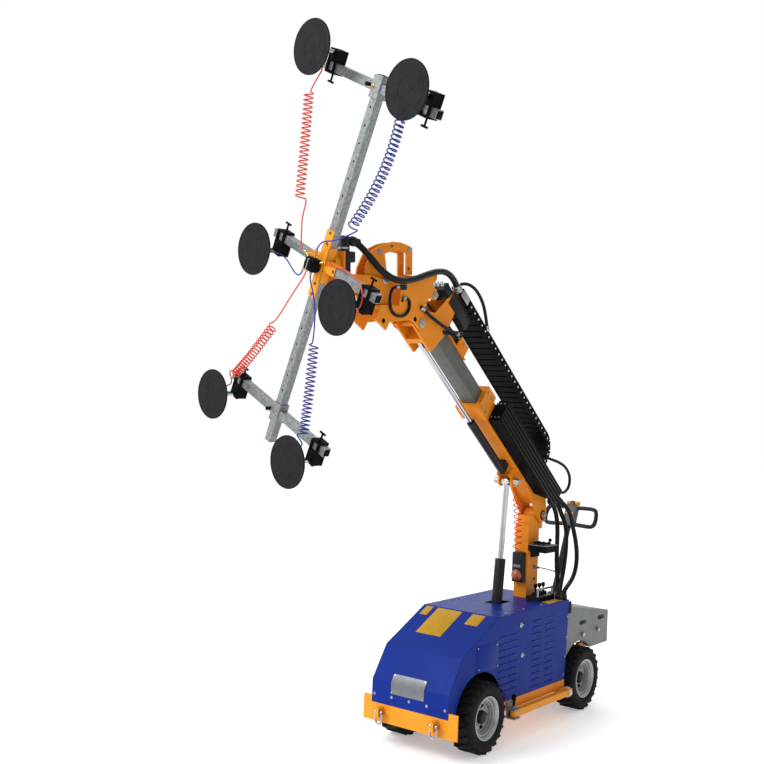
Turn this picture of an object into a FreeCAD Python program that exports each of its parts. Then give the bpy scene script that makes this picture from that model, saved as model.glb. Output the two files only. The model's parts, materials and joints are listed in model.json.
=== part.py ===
import FreeCAD, Part
import Sketcher
import math
import os
import re
from FreeCAD import Placement, Rotation, Vector

# Glass panel lifter: a wheeled carriage with a counterweight, a column, a telescopic
# boom on a lift cylinder, a tilting and swinging wrist and a turning frame of six pads.
# Millimetres. Origin on the floor, on the centre plane, under the front axle.
# Forward is -Y, the machine's left is +X, up is +Z.

doc = FreeCAD.newDocument("glass_panel_lifter")

# Driving dimensions. Heights are above the floor unless the name says otherwise.
SIZES = {
    # fits and cuts
    "running_gap": 0.05, "seat_gap": 0.3, "side_gap": 3, "overrun": 5,
    # wheels and axles
    "wheelbase": 1367, "front_tuck": 11, "rear_tuck": 39,
    "tyre_radius": 225, "tyre_width": 165, "tyre_bead": 14, "tyre_shoulder": 18,
    "rim_radius": 124, "rim_wall": 6, "rim_lip": 12, "rim_lip_width": 5.5,
    "hub_radius": 46, "hub_inner": 45, "hub_outer": 30, "disc_offset": 8, "disc_thickness": 10,
    "stub_radius": 20, "axle_radius": 25, "nut_radius": 28, "nut_length": 16,
    # welded chassis
    "body_width": 588, "rail_inset": 154, "rail_width": 30, "rail_bottom": 180, "rail_top": 258,
    "cross_depth": 40, "cross_inset": 10, "sill_width": 50, "sill_bottom": 195,
    "sill_front": 285, "sill_rear": 1115, "floor_thickness": 8, "bulkhead_thickness": 10,
    "post_front": 1600, "post_rear": 1680,
    # bumper and shackles
    "bumper_width": 718, "bumper_bottom": 154, "bumper_top": 311, "bumper_thickness": 12,
    "tow_lug_place": 210, "tow_lug_width": 20, "tow_lug_length": 55,
    "tow_lug_bottom": 195, "tow_lug_top": 255, "tow_eye_forward": 34,
    "shackle_pin_radius": 8, "shackle_bar": 7, "shackle_half_width": 24, "shackle_drop": 50,
    # cowl and side panels
    "sheet": 3, "cowl_front": 346, "cowl_bottom": 271, "facet_top": 418,
    "brow_forward": 213, "brow_height": 618, "deck_front": 194, "deck_height": 819,
    "deck_rear": 1150, "arch_radius": 275, "deck_slot_front": 570, "deck_slot_rear": 740, "deck_slot_gap": 4,
    # counterweight
    "weight_rear": 1830, "weight_half_width": 270, "weight_bottom": 415,
    "weight_front_height": 770, "weight_rear_height": 655, "weight_arch": 262,
    "weight_pocket_half": 220, "weight_pocket_front": 1180, "weight_pocket_rear": 1780,
    "weight_pocket_top": 590, "hand_slot_first": 1422, "hand_slot_second": 1714,
    "hand_slot_height": 615, "hand_slot_half": 55, "hand_slot_radius": 16, "hand_slot_depth": 40,
    # column and lift pins
    "column_half": 53, "column_front": 952, "column_rear": 1108, "column_wall": 8,
    "column_top": 1345, "head_front": 975, "head_rear": 1150, "head_bottom": 1300,
    "pivot_y": 1110, "pivot_z": 1400, "pivot_boss": 60, "pivot_pin": 25,
    "lift_pin_y": 605, "lift_pin_z": 400, "lift_pin": 15, "lift_lug_inner": 50,
    "lift_lug_thickness": 12, "lift_lug_half": 45,
    # packs inside the body
    "battery_front": 300, "battery_rear": 555, "battery_half": 200, "battery_height": 250,
    "pack_front": 735, "pack_rear": 930, "pack_half": 150, "pack_height": 230,
    # valve bank, console and beacon
    "valve_inner": 120, "valve_outer": 205, "valve_front": 860, "valve_rear": 1090,
    "valve_height": 34, "lever_radius": 6, "lever_length": 55, "lever_knob": 13,
    "lever_pitch": 55, "lever_fork": 11, "lever_pin": 4, "guard_radius": 7, "guard_height": 84,
    "console_outer": 200, "console_front": 950, "console_rear": 1130,
    "console_share": 0.5697, "console_height": 46,
    "beacon_front": 870, "beacon_bottom": 929, "beacon_top": 1142, "beacon_half": 42,
    "lens_radius": 40, "lens_height": 80,
    # stabilisers
    "stay_reach": 38, "stay_y": 360, "stay_z": 180, "stay_section": 44, "stay_length": 720,
    "stay_pin": 12, "stay_plate": 11, "stay_half": 36, "foot_radius": 34, "foot_length": 30,
    # tiller
    "tiller_y": 1450, "tiller_pin_height": 770, "tiller_pin": 10, "tiller_lug": 10,
    "tiller_lug_gap": 24, "tiller_lug_half": 28, "tiller_lean": 22, "tiller_tube": 19,
    "tiller_length": 545, "tiller_head_half": 50, "tiller_head_depth": 60, "tiller_head_height": 165,
    "loop_half": 205, "loop_bar": 13, "loop_rise": 150, "thumb_radius": 26, "thumb_width": 34,
    "thumb_shaft": 8,
    # boom, in the boom's own frame: back from the pivot along Y, square off it along Z
    "boom_angle": 38.5, "boom_axis": 105, "boom_section": 150, "boom_wall": 8,
    "boom_back": 90, "boom_front": 1160, "collar_section": 190, "collar_back": 1085,
    "collar_front": 1205, "cheek_inner": 59, "cheek_thickness": 16, "cheek_front": 330,
    "boom_lug_inner": 42, "boom_lug_thickness": 14, "boom_lug_y": 462, "boom_lug_drop": 42,
    "boom_lug_half": 75, "boom_lug_radius": 38, "stub_pin_ring": 24, "stub_ring_length": 10,
    "cover_width": 90, "cover_back": 20, "cover_front": 1040, "cover_low": 40, "cover_high": 215,
    "ext_radius": 28, "ext_drop": 30, "ext_back": 560, "ext_front": 1100, "ext_rod": 16,
    "ext_rod_back": 880,
    "inner_section": 110, "inner_wall": 6, "inner_back": 500, "inner_front": 1950,
    "slider_length": 60,
    # chain
    "chain_half_width": 90, "chain_height": 60, "chain_radius": 115, "chain_bend": 375,
    "chain_lower_front": 900, "chain_upper_front": 1850,
    # boom head
    "tilt_y": 2038.5, "tilt_drop": 8, "tilt_pin": 18, "head_thickness": 15, "head_back": 1790,
    "nose_reach": 49.5, "head_low": 58, "head_block": 40,
    "bracket_inner": 60, "bracket_thickness": 10, "tilt_lug_y": 1560, "tilt_lug_z": 245,
    "tilt_lug_thickness": 14, "tilt_lug_half": 55, "tilt_lug_pin": 12,
    # lift cylinder
    "lift_barrel": 37, "lift_wall": 8, "lift_barrel_length": 721, "lift_rod": 19,
    "lift_rod_start": 300, "lift_eye": 30,
    # tilt cylinder
    "tilt_barrel": 30, "tilt_wall": 7, "tilt_barrel_length": 300, "tilt_rod": 14,
    "tilt_rod_start": 87, "tilt_eye": 22, "tilt_arm_y": 11.5, "tilt_arm_z": 216,
    # yoke, in a frame at the tilt pin
    "yoke_angle": 3.07, "yoke_inner": 76, "yoke_thickness": 14, "yoke_front": 445,
    "yoke_back": 175, "yoke_high": 305, "yoke_shelf": 95, "shelf_thickness": 15, "yoke_low": 70,
    "swing_forward": 315, "post_radius": 20, "post_top": 250,
    # swing bracket, in a frame on the swing post
    "swing_angle": 8.8, "knuckle_radius": 54, "knuckle_low": 97, "swing_inner": 50,
    "swing_thickness": 14, "swing_back": 45, "swing_top": 262, "front_plate": 331,
    "front_plate_thickness": 14, "front_plate_half": 80, "front_plate_low": 165,
    "front_plate_high": 385, "arch_inner": 30, "arch_thickness": 12, "arch_high": 473,
    "arch_back": 237, "arch_front": 150, "arch_bar": 50, "arch_tie": 8,
    "motor_forward": 281, "motor_radius": 45, "motor_top_radius": 38, "motor_step": 355,
    "motor_top": 480,
    # turning frame, in a frame at the beam's centre
    "hub_forward": 413, "hub_rise": 313, "frame_roll": 26, "hub_flange": 60, "hub_shaft": 22,
    "beam_section": 50, "beam_wall": 4, "beam_high": 1073, "beam_low": 1138,
    "hub_sleeve": 64, "hub_sleeve_half": 200, "hub_arm_reach": 130, "hub_arm_section": 62,
    "arm_section": 50, "arm_half": 487, "arm_high": 1008, "arm_low": 946,
    "arm_sleeve": 70, "arm_sleeve_half": 60, "pin_hole": 6, "beam_pitch": 100,
    "vacuum_half": 55, "vacuum_depth": 70, "vacuum_low": 20, "vacuum_high": 110, "vacuum_shift": 75,
    # suction pads
    "pad_radius": 150, "pad_thickness": 40, "pad_forward": 200, "pad_place": 408,
    "pad_offset_high": 75, "pad_offset_low": 90, "clamp_half": 37.5, "clamp_end": 22,
    "stem_radius": 15, "pad_boss": 40, "knob_stem": 6, "knob_reach": 45, "knob_half": 22,
    "knob_bar": 6, "nipple_radius": 7, "nipple_length": 14,
    # hoses
    "mast_hose": 33, "big_hose": 40, "loop_hose": 18, "wrist_hose": 22, "pad_hose": 8,
    "curl_radius": 26,
}

sheet = doc.addObject("Spreadsheet::Sheet", "Sizes")
for row, (size_name, size_value) in enumerate(SIZES.items(), start=1):
    sheet.set("A%d" % row, size_name)
    sheet.set("B%d" % row, str(size_value))
    sheet.setAlias("B%d" % row, size_name)
doc.recompute()

WORD = re.compile(r"[a-z_]+[a-z]")
NODES = []


def formula(text):
    """The text of an expression, with each size's name led back to the sheet."""
    return WORD.sub(lambda found: "Sizes." + found.group(0), text)


def size(name):
    """The number that the sheet holds under a name."""
    return float(sheet.get(sheet.getCellFromAlias(name)))


def bind(thing, place, text):
    thing.setExpression(place, formula(text))


def both(half):
    """A span that reaches as far to one side as to the other."""
    return ("-(%s)" % half, half)


def block(name, x, y, z):
    """A box between a low and a high formula on each axis."""
    box = doc.addObject("Part::Box", name)
    for side, letter, (low, high) in zip(("Length", "Width", "Height"), "xyz", (x, y, z)):
        bind(box, side, "(%s) - (%s)" % (high, low))
        bind(box, "Placement.Base." + letter, low)
    return box


TURNS = {
    "X": Rotation(Vector(0, 1, 0), 90),
    "Y": Rotation(Vector(1, 0, 0), -90),
    "Z": Rotation(),
}


def bar(name, axis, across, radius, along):
    """A round bar along one axis; across gives its other two places, in order."""
    rod = doc.addObject("Part::Cylinder", name)
    rod.Placement.Rotation = TURNS[axis]
    bind(rod, "Radius", radius)
    bind(rod, "Height", "(%s) - (%s)" % (along[1], along[0]))
    bind(rod, "Placement.Base." + axis.lower(), along[0])
    for letter, place in zip("XYZ".replace(axis, "").lower(), across):
        bind(rod, "Placement.Base." + letter, place)
    return rod


def join(name, pieces):
    whole = doc.addObject("Part::MultiFuse", name)
    whole.Shapes = pieces
    whole.Refine = True
    return whole


def cut(name, base, tools):
    for number, tool in enumerate(tools, start=1):
        left = doc.addObject("Part::Cut", "%s_cut_%d" % (name, number))
        left.Base = base
        left.Tool = tool
        base = left
    return base


def group(name, pieces):
    bunch = doc.addObject("Part::Compound", name)
    bunch.Links = pieces
    return bunch


def outline(body, plane, points):
    """A closed sketch on one of the body's own planes, each corner tied to two formulas."""
    support = [plane_face for plane_face in body.Origin.OriginFeatures if plane_face.Role == plane][0]
    sketch = body.newObject("Sketcher::SketchObject", body.Name + "_outline")
    sketch.AttachmentSupport = [(support, "")]
    sketch.MapMode = "FlatFace"
    values = [[evaluate(place) for place in point] for point in points]
    total = len(points)
    for number in range(total):
        start = Vector(values[number][0], values[number][1], 0)
        end = Vector(values[(number + 1) % total][0], values[(number + 1) % total][1], 0)
        sketch.addGeometry(Part.LineSegment(start, end))
    for number in range(total):
        sketch.addConstraint(Sketcher.Constraint("Coincident", number, 2, (number + 1) % total, 1))
    for number, point in enumerate(points):
        for kind, place, value in zip(("DistanceX", "DistanceY"), point, values[number]):
            index = sketch.addConstraint(Sketcher.Constraint(kind, -1, 1, number, 1, value))
            bind(sketch, "Constraints[%d]" % index, place)
    return sketch


def evaluate(text):
    """A formula's number, worked out by the sheet itself."""
    return float(sheet.evalExpression(formula(text).replace("Sizes.", "")))


def plate(name, points, low, high):
    """A flat plate: an outline in the side view, from one X to another."""
    body = doc.addObject("PartDesign::Body", name)
    sketch = outline(body, "YZ_Plane", points)
    pad = body.newObject("PartDesign::Pad", name + "_pad")
    pad.Profile = sketch
    bind(pad, "Length", "(%s) - (%s)" % (high, low))
    bind(body, "Placement.Base.x", low)
    return body


def plates(name, points, inner, thickness):
    """A pair of equal plates, one each side of the centre plane."""
    left = plate(name + "_left", points, inner, "%s + %s" % (inner, thickness))
    right = plate(name + "_right", points, "-(%s + %s)" % (inner, thickness), "-(%s)" % inner)
    return [left, right]


def turned(name, points):
    """A round piece: an outline of places along X and radii, turned about X."""
    body = doc.addObject("PartDesign::Body", name)
    sketch = outline(body, "XY_Plane", points)
    ring = body.newObject("PartDesign::Revolution", name + "_turn")
    ring.Profile = sketch
    ring.ReferenceAxis = (sketch, ["H_Axis"])
    ring.Angle = 360
    return body


def keep(label, thing, place=None):
    """Give a finished sub-part its label and its place."""
    thing.Label = label
    if place is not None:
        thing.Placement = place
    NODES.append(thing)
    return thing


# Frames of the moving groups, from the sheet.
X_AXIS = Vector(1, 0, 0)
Z_AXIS = Vector(0, 0, 1)
BOOM = Placement(Vector(0, size("pivot_y"), size("pivot_z")), Rotation(X_AXIS, -size("boom_angle")))
TILT_POINT = BOOM.multVec(Vector(0, -size("tilt_y"), -size("tilt_drop")))
YOKE = Placement(TILT_POINT, Rotation(X_AXIS, size("yoke_angle")))
SWING = YOKE * Placement(Vector(0, -size("swing_forward"), 0), Rotation(Z_AXIS, -size("swing_angle")))
HUB = Vector(0, -size("hub_forward"), size("hub_rise"))
FRAME = SWING * Placement(HUB, Rotation(Vector(0, 1, 0), size("frame_roll")))

# Wheels: tyre and stepped rim on each of four stubs.
SEAT = "rim_radius + seat_gap"
HALF_TYRE = "tyre_width / 2"
BEAD = "tyre_width * 0.375"
TYRE_OUTLINE = [
    ("-" + BEAD, SEAT), (BEAD, SEAT), (BEAD, "rim_radius + tyre_bead"),
    (HALF_TYRE, "rim_radius + tyre_bead * 2.5"), (HALF_TYRE, "tyre_radius - tyre_shoulder * 1.4"),
    (HALF_TYRE + " - tyre_shoulder", "tyre_radius"), ("tyre_shoulder - " + HALF_TYRE, "tyre_radius"),
    ("-" + HALF_TYRE, "tyre_radius - tyre_shoulder * 1.4"),
    ("-" + HALF_TYRE, "rim_radius + tyre_bead * 2.5"), ("-" + BEAD, "rim_radius + tyre_bead"),
]
LIP = BEAD + " + seat_gap"
LIP_OUT = LIP + " + rim_lip_width"
RIM_OUTLINE = [
    ("-(%s)" % LIP_OUT, "rim_radius + rim_lip"), ("-(%s)" % LIP, "rim_radius + rim_lip"),
    ("-(%s)" % LIP, "rim_radius"), (LIP, "rim_radius"), (LIP, "rim_radius + rim_lip"),
    (LIP_OUT, "rim_radius + rim_lip"), (LIP_OUT, "rim_radius - rim_wall"),
    ("disc_offset + disc_thickness", "rim_radius - rim_wall"),
    ("disc_offset + disc_thickness", "hub_radius"), ("hub_outer", "hub_radius"),
    ("hub_outer", "stub_radius + running_gap"), ("-hub_inner", "stub_radius + running_gap"),
    ("-hub_inner", "hub_radius"), ("disc_offset", "hub_radius"),
    ("disc_offset", "rim_radius - rim_wall"), ("-(%s)" % LIP_OUT, "rim_radius - rim_wall"),
]
FRONT_WHEEL = "(body_width / 2 - front_tuck)"
REAR_WHEEL = "(body_width / 2 - rear_tuck)"
CORNERS = [
    ("front_left", 1, FRONT_WHEEL, 0), ("front_right", -1, FRONT_WHEEL, 0),
    ("rear_left", 1, REAR_WHEEL, 1), ("rear_right", -1, REAR_WHEEL, 1),
]
for corner, side, half_track, rear in CORNERS:
    centre = Vector(side * evaluate(half_track), rear * size("wheelbase"), size("tyre_radius"))
    turn = Rotation(Z_AXIS, 0 if side > 0 else 180)
    keep("tyre_" + corner, turned("tyre_solid_" + corner, TYRE_OUTLINE), Placement(centre, turn))
    keep("rim_" + corner, turned("rim_solid_" + corner, RIM_OUTLINE), Placement(centre, turn))

AXLES = []
for end, half_track, place in (("front", FRONT_WHEEL, "0"), ("rear", REAR_WHEEL, "wheelbase")):
    across = (place, "tyre_radius")
    shoulder = half_track + " - hub_inner - seat_gap"
    tip = half_track + " + hub_outer + seat_gap"
    pieces = [
        bar(end + "_shaft", "X", across, "axle_radius", both(shoulder)),
        bar(end + "_stubs", "X", across, "stub_radius", both(tip + " + nut_length")),
        bar(end + "_nut_left", "X", across, "nut_radius", (tip, tip + " + nut_length")),
        bar(end + "_nut_right", "X", across, "nut_radius", ("-(%s + nut_length)" % tip, "-(%s)" % tip)),
    ]
    AXLES.append(join(end + "_axle", pieces))
keep("wheel_axles", group("axle_pair", AXLES))

# Welded chassis: two rails, cross members, sills, floor, bulkhead, weight posts, lift lugs.
BUMPER_BACK = "-cowl_front + sheet + bumper_thickness"
FLOOR_TOP = "rail_top + floor_thickness"
RAIL_IN = "(body_width / 2 - rail_inset - rail_width / 2)"
RAIL_OUT = "(body_width / 2 - rail_inset + rail_width / 2)"
SILL_IN = "body_width / 2 - sill_width"
SILL_OUT = "body_width / 2"
BULKHEAD_BACK = "column_rear + bulkhead_thickness"
PANEL_IN = "body_width / 2 - sheet"
DECK_UNDER = "deck_height - sheet"


def sides(name, inner, outer, y, z):
    """A block on the left and its twin on the right."""
    left = block(name + "_left", (inner, outer), y, z)
    right = block(name + "_right", ("-(%s)" % outer, "-(%s)" % inner), y, z)
    return [left, right]


frame_pieces = sides("rail", RAIL_IN, RAIL_OUT, (BUMPER_BACK, "post_rear"), ("rail_bottom", "rail_top"))
frame_pieces += sides("weight_post", RAIL_IN, RAIL_OUT, ("post_front", "post_rear"), ("rail_bottom",
                                                                                      "weight_bottom"))
frame_pieces += sides("sill", SILL_IN, SILL_OUT, ("sill_front", "sill_rear"), ("sill_bottom", "rail_top"))
CROSSES = [
    ("front", BUMPER_BACK), ("middle", "sill_front"),
    ("column", "column_rear - cross_depth"), ("tail", "post_rear - cross_depth"),
]
for cross, start in CROSSES:
    span = (start, start + " + cross_depth")
    frame_pieces.append(block("cross_" + cross, both(RAIL_IN), span,
                              ("rail_bottom + cross_inset", "rail_top - cross_inset")))
frame_pieces.append(block("floor_plate", both(PANEL_IN), ("sill_front", BULKHEAD_BACK), ("rail_top",
                                                                                         FLOOR_TOP)))
frame_pieces.append(block("bulkhead", both(PANEL_IN), ("column_rear", BULKHEAD_BACK), ("rail_top",
                                                                                       DECK_UNDER)))
frame_pieces += sides("lift_lug", "lift_lug_inner", "lift_lug_inner + lift_lug_thickness",
                      ("lift_pin_y - lift_lug_half", "lift_pin_y + lift_lug_half"),
                      ("rail_top", "lift_pin_z + lift_lug_half"))
frame_pieces.append(bar("lift_base_pin", "X", ("lift_pin_y", "lift_pin_z"), "lift_pin",
                        both("lift_lug_inner + lift_lug_thickness * 1.5")))
AXLE_BORE = "axle_radius + seat_gap"
axle_bores = [
    bar("front_axle_bore", "X", ("0", "tyre_radius"), AXLE_BORE, both(RAIL_OUT + " + overrun")),
    bar("rear_axle_bore", "X", ("wheelbase", "tyre_radius"), AXLE_BORE, both(RAIL_OUT + " + overrun")),
]
keep("chassis_frame", cut("chassis", join("chassis_weldment", frame_pieces), axle_bores))

# Bumper beam with two towing lugs, and a shackle hanging in each lug.
BUMPER_FRONT = "-cowl_front + sheet"
TOW_EYE_Y = BUMPER_FRONT + " - tow_eye_forward"
TOW_EYE_Z = "(tow_lug_bottom + tow_lug_top) / 2"
LUG_SPAN = (BUMPER_FRONT + " - tow_lug_length", BUMPER_FRONT)
bumper_pieces = [block("bumper_beam", both("bumper_width / 2"), (BUMPER_FRONT, BUMPER_BACK),
                       ("bumper_bottom", "bumper_top"))]
bumper_pieces += sides("tow_lug", "tow_lug_place - tow_lug_width / 2", "tow_lug_place + tow_lug_width / 2",
                       LUG_SPAN, ("tow_lug_bottom", "tow_lug_top"))
tow_hole = bar("tow_hole", "X", (TOW_EYE_Y, TOW_EYE_Z), "shackle_pin_radius + running_gap",
               both("tow_lug_place + tow_lug_width"))
keep("front_bumper", cut("bumper", join("bumper_weldment", bumper_pieces), [tow_hole]))

for side_name, sign in (("left", ""), ("right", "-")):
    middle = "%s(tow_lug_place)" % sign
    legs = []
    for letter, step in (("a", "-"), ("b", "+")):
        leg_x = "%s %s shackle_half_width" % (middle, step)
        legs.append(bar("shackle_leg_%s_%s" % (letter, side_name), "Z", (leg_x, TOW_EYE_Y), "shackle_bar",
                        (TOW_EYE_Z + " - shackle_drop", TOW_EYE_Z)))
        legs.append(bar("shackle_eye_%s_%s" % (letter, side_name), "X", (TOW_EYE_Y, TOW_EYE_Z),
                        "shackle_bar * 2", (leg_x + " - shackle_bar", leg_x + " + shackle_bar")))
    legs.append(bar("shackle_pin_" + side_name, "X", (TOW_EYE_Y, TOW_EYE_Z), "shackle_pin_radius",
                    (middle + " - shackle_half_width", middle + " + shackle_half_width")))
    bow = doc.addObject("Part::Torus", "shackle_bow_" + side_name)
    bind(bow, "Radius1", "shackle_half_width")
    bind(bow, "Radius2", "shackle_bar")
    bow.Angle3 = 180
    bow.Placement.Rotation = Rotation(X_AXIS, -90)
    bind(bow, "Placement.Base.x", middle)
    bind(bow, "Placement.Base.y", TOW_EYE_Y)
    bind(bow, "Placement.Base.z", TOW_EYE_Z + " - shackle_drop")
    legs.append(bow)
    keep("tow_shackle_" + side_name, join("shackle_" + side_name, legs))

# Cowl: one folded sheet from the bumper over the brow to the end of the deck.
COWL_OUTLINE = [
    ("-cowl_front", "cowl_bottom"), ("-cowl_front", "facet_top"), ("-brow_forward", "brow_height"),
    ("deck_front", "deck_height"), ("deck_rear", "deck_height"), ("deck_rear", DECK_UNDER),
    ("deck_front + sheet", DECK_UNDER), ("sheet - brow_forward", "brow_height - sheet"),
    ("sheet - cowl_front", "facet_top - sheet"), ("sheet - cowl_front", "cowl_bottom"),
]
cowl = plate("cowl_sheet", COWL_OUTLINE, "-body_width / 2", "body_width / 2")
deck_slots = [block("deck_slot_" + name, both("column_half + deck_slot_gap"), span,
                    (DECK_UNDER + " - overrun", "deck_height + overrun"))
              for name, span in (("lift", ("deck_slot_front", "deck_slot_rear")),
                                 ("column", ("column_front - deck_slot_gap", "column_rear + deck_slot_gap")))]
keep("front_cowl", cut("cowl", cowl, deck_slots))

PANEL_OUTLINE = [
    (BUMPER_BACK, "cowl_bottom"), (BUMPER_BACK, "bumper_top"), ("sheet - cowl_front", "bumper_top"),
    ("sheet - cowl_front", "facet_top - sheet"), ("sheet - brow_forward", "brow_height - sheet"),
    ("deck_front + sheet", DECK_UNDER), ("deck_rear", DECK_UNDER), (BULKHEAD_BACK, "rail_top"),
    ("sill_front", "rail_top"),
]
for side_name, low, high in (("left", PANEL_IN, SILL_OUT), ("right", "-(%s)" % SILL_OUT,
                                                            "-(%s)" % PANEL_IN)):
    panel = plate("panel_" + side_name, PANEL_OUTLINE, low, high)
    arch = bar("panel_arch_" + side_name, "X", ("0", "tyre_radius"), "arch_radius",
               (low + " - overrun", high + " + overrun"))
    keep("side_panel_" + side_name, cut("panel_" + side_name, panel, [arch]))

# Counterweight: a hollow casting bolted to the bulkhead, with hand slots and tiller lugs.
WEIGHT_FALL = "(weight_front_height - weight_rear_height) / (weight_rear - column_rear - bulkhead_thickness)"
WEIGHT_OUTLINE = [
    (BULKHEAD_BACK, "weight_bottom"), (BULKHEAD_BACK, "weight_front_height"),
    ("weight_rear", "weight_rear_height"), ("weight_rear", "weight_bottom"),
]
casting = plate("casting", WEIGHT_OUTLINE, "-weight_half_width", "weight_half_width")
LUG_FOOT = "weight_front_height - (tiller_y + tiller_lug_half - column_rear) * %s" % WEIGHT_FALL
tiller_lugs = sides("tiller_lug", "tiller_lug_gap", "tiller_lug_gap + tiller_lug",
                    ("tiller_y - tiller_lug_half", "tiller_y + tiller_lug_half"),
                    (LUG_FOOT + " - overrun", "tiller_pin_height + tiller_lug_half"))
tiller_pin = bar("tiller_pin", "X", ("tiller_y", "tiller_pin_height"), "tiller_pin",
                 both("tiller_lug_gap + tiller_lug * 1.6"))
weight_cuts = [
    bar("weight_arch", "X", ("wheelbase", "tyre_radius"), "weight_arch",
        both("weight_half_width + overrun")),
    block("weight_pocket", both("weight_pocket_half"), ("weight_pocket_front", "weight_pocket_rear"),
          ("weight_bottom - overrun", "weight_pocket_top")),
]
for number, place in enumerate(("hand_slot_first", "hand_slot_second"), start=1):
    for side_name, low, high in (("left", "weight_half_width - hand_slot_depth",
                                  "weight_half_width + overrun"),
                                 ("right", "-(weight_half_width + overrun)",
                                  "hand_slot_depth - weight_half_width")):
        slot_name = "hand_slot_%d_%s" % (number, side_name)
        ends = (place + " - hand_slot_half + hand_slot_radius",
                place + " + hand_slot_half - hand_slot_radius")
        weight_cuts.append(join(slot_name, [
            block(slot_name + "_flat", (low, high), ends,
                  ("hand_slot_height - hand_slot_radius", "hand_slot_height + hand_slot_radius")),
            bar(slot_name + "_front", "X", (ends[0], "hand_slot_height"), "hand_slot_radius", (low, high)),
            bar(slot_name + "_back", "X", (ends[1], "hand_slot_height"), "hand_slot_radius", (low, high)),
        ]))
weight_body = cut("weight", casting, weight_cuts)
keep("counterweight", join("weight_with_lugs", [weight_body, tiller_pin] + tiller_lugs))

# Column: a square tube from the floor to the head that carries the boom pivot.
PIVOT = ("pivot_y", "pivot_z")
column_tube = cut("column_tube", block("column_post", both("column_half"), ("column_front", "column_rear"),
                                       (FLOOR_TOP, "column_top")),
                  [block("column_core", both("column_half - column_wall"),
                         ("column_front + column_wall", "column_rear - column_wall"),
                         (FLOOR_TOP + " - overrun", "head_bottom"))])
column_head = join("column_weldment", [
    column_tube,
    block("column_head", both("column_half"), ("head_front", "head_rear"), ("head_bottom", "pivot_z")),
    bar("column_boss", "X", PIVOT, "pivot_boss", both("column_half")),
])
keep("column", cut("column", column_head, [bar("pivot_bore", "X", PIVOT, "pivot_pin + running_gap",
                                               both("column_half + overrun"))]))

# Battery box and hydraulic power pack on the floor plate.
keep("battery_pack", block("battery_box", both("battery_half"), ("battery_front", "battery_rear"),
                           (FLOOR_TOP, FLOOR_TOP + " + battery_height")))
pump_tank = block("pump_tank", both("pack_half"), ("pack_front", "pack_rear"),
                  (FLOOR_TOP, FLOOR_TOP + " + pack_height * 0.6"))
pump_motor = bar("pump_motor", "Z", ("pack_half / 2", "(pack_front + pack_rear) / 2"), "pack_half * 0.4",
                 (FLOOR_TOP + " + pack_height * 0.5", FLOOR_TOP + " + pack_height"))
keep("power_pack", join("pump_unit", [pump_tank, pump_motor]))

# Valve bank on the deck, with a hoop guard, and three levers on fork pins.
VALVE_TOP = "deck_height + valve_height"
VALVE_MIDDLE = "valve_inner * 0.7 + valve_outer * 0.3"
VALVE_CENTRE = "(valve_front + valve_rear) / 2"
guard_y = ("valve_front + guard_radius * 2", "valve_rear - guard_radius * 2")
guard_x = "valve_outer - guard_radius * 2"
valve_pieces = [block("valve_body", ("valve_inner", "valve_outer"), ("valve_front", "valve_rear"),
                      ("deck_height", VALVE_TOP))]
for name, place in zip(("front", "back"), guard_y):
    valve_pieces.append(bar("guard_" + name, "Z", (guard_x, place), "guard_radius",
                            ("deck_height + valve_height / 2", "deck_height + guard_height")))
valve_pieces.append(bar("guard_top", "Y", (guard_x, "deck_height + guard_height"), "guard_radius",
                        (guard_y[0] + " - guard_radius", guard_y[1] + " + guard_radius")))
for number in range(-1, 2):
    lever_y = "%s + %d * lever_pitch" % (VALVE_CENTRE, number)
    fork = "lever_%d" % (number + 2)
    for letter, low, high in (("a", "-2 * lever_fork", "-lever_fork"), ("b", "lever_fork",
                                                                        "2 * lever_fork")):
        valve_pieces.append(block("%s_fork_%s" % (fork, letter),
                                  (VALVE_MIDDLE + " - 1.6 * lever_fork",
                                   VALVE_MIDDLE + " + 1.6 * lever_fork"),
                                  ("%s + %s" % (lever_y, low), "%s + %s" % (lever_y, high)),
                                  (VALVE_TOP, VALVE_TOP + " + 2 * lever_fork")))
    valve_pieces.append(bar(fork + "_pin", "Y", (VALVE_MIDDLE, VALVE_TOP + " + lever_fork * 1.2"),
                            "lever_pin",
                            (lever_y + " - 2 * lever_fork", lever_y + " + 2 * lever_fork")))
keep("valve_block", join("valve_bank", valve_pieces))
for number in range(-1, 2):
    lever_y = "%s + %d * lever_pitch" % (VALVE_CENTRE, number)
    pin_z = VALVE_TOP + " + lever_fork * 1.2"
    name = "valve_lever_%d" % (number + 2)
    lever = join(name + "_whole", [
        bar(name + "_eye", "Y", (VALVE_MIDDLE, pin_z), "lever_fork - seat_gap * 2",
            (lever_y + " - lever_fork * 0.8", lever_y + " + lever_fork * 0.8")),
        bar(name + "_stick", "Z", (VALVE_MIDDLE, lever_y), "lever_radius", (pin_z,
                                                                            pin_z + " + lever_length")),
        bar(name + "_knob", "Z", (VALVE_MIDDLE, lever_y), "lever_knob",
            (pin_z + " + lever_length - lever_knob", pin_z + " + lever_length + lever_knob")),
    ])
    keep(name, cut(name + "_bored", lever, [
        bar(name + "_bore", "Y", (VALVE_MIDDLE, pin_z), "lever_pin + running_gap",
            (lever_y + " - lever_fork * 2", lever_y + " + lever_fork * 2"))]))

# Remote console in its tray on the column's left side.
CONSOLE_LOW = "(deck_height + (pivot_z - deck_height) * console_share)"
CONSOLE_TOP = CONSOLE_LOW + " + console_height"
keep("remote_console", join("console_tray", [
    block("console_case", ("column_half + side_gap * 4", "console_outer"), ("console_front",
                                                                            "console_rear"),
          (CONSOLE_LOW, CONSOLE_TOP)),
    block("console_arm", ("column_half", "column_half + side_gap * 5"), ("console_front + console_height",
          "column_rear - column_wall"), (CONSOLE_LOW + " - console_height", CONSOLE_TOP + " - side_gap")),
]))

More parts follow.
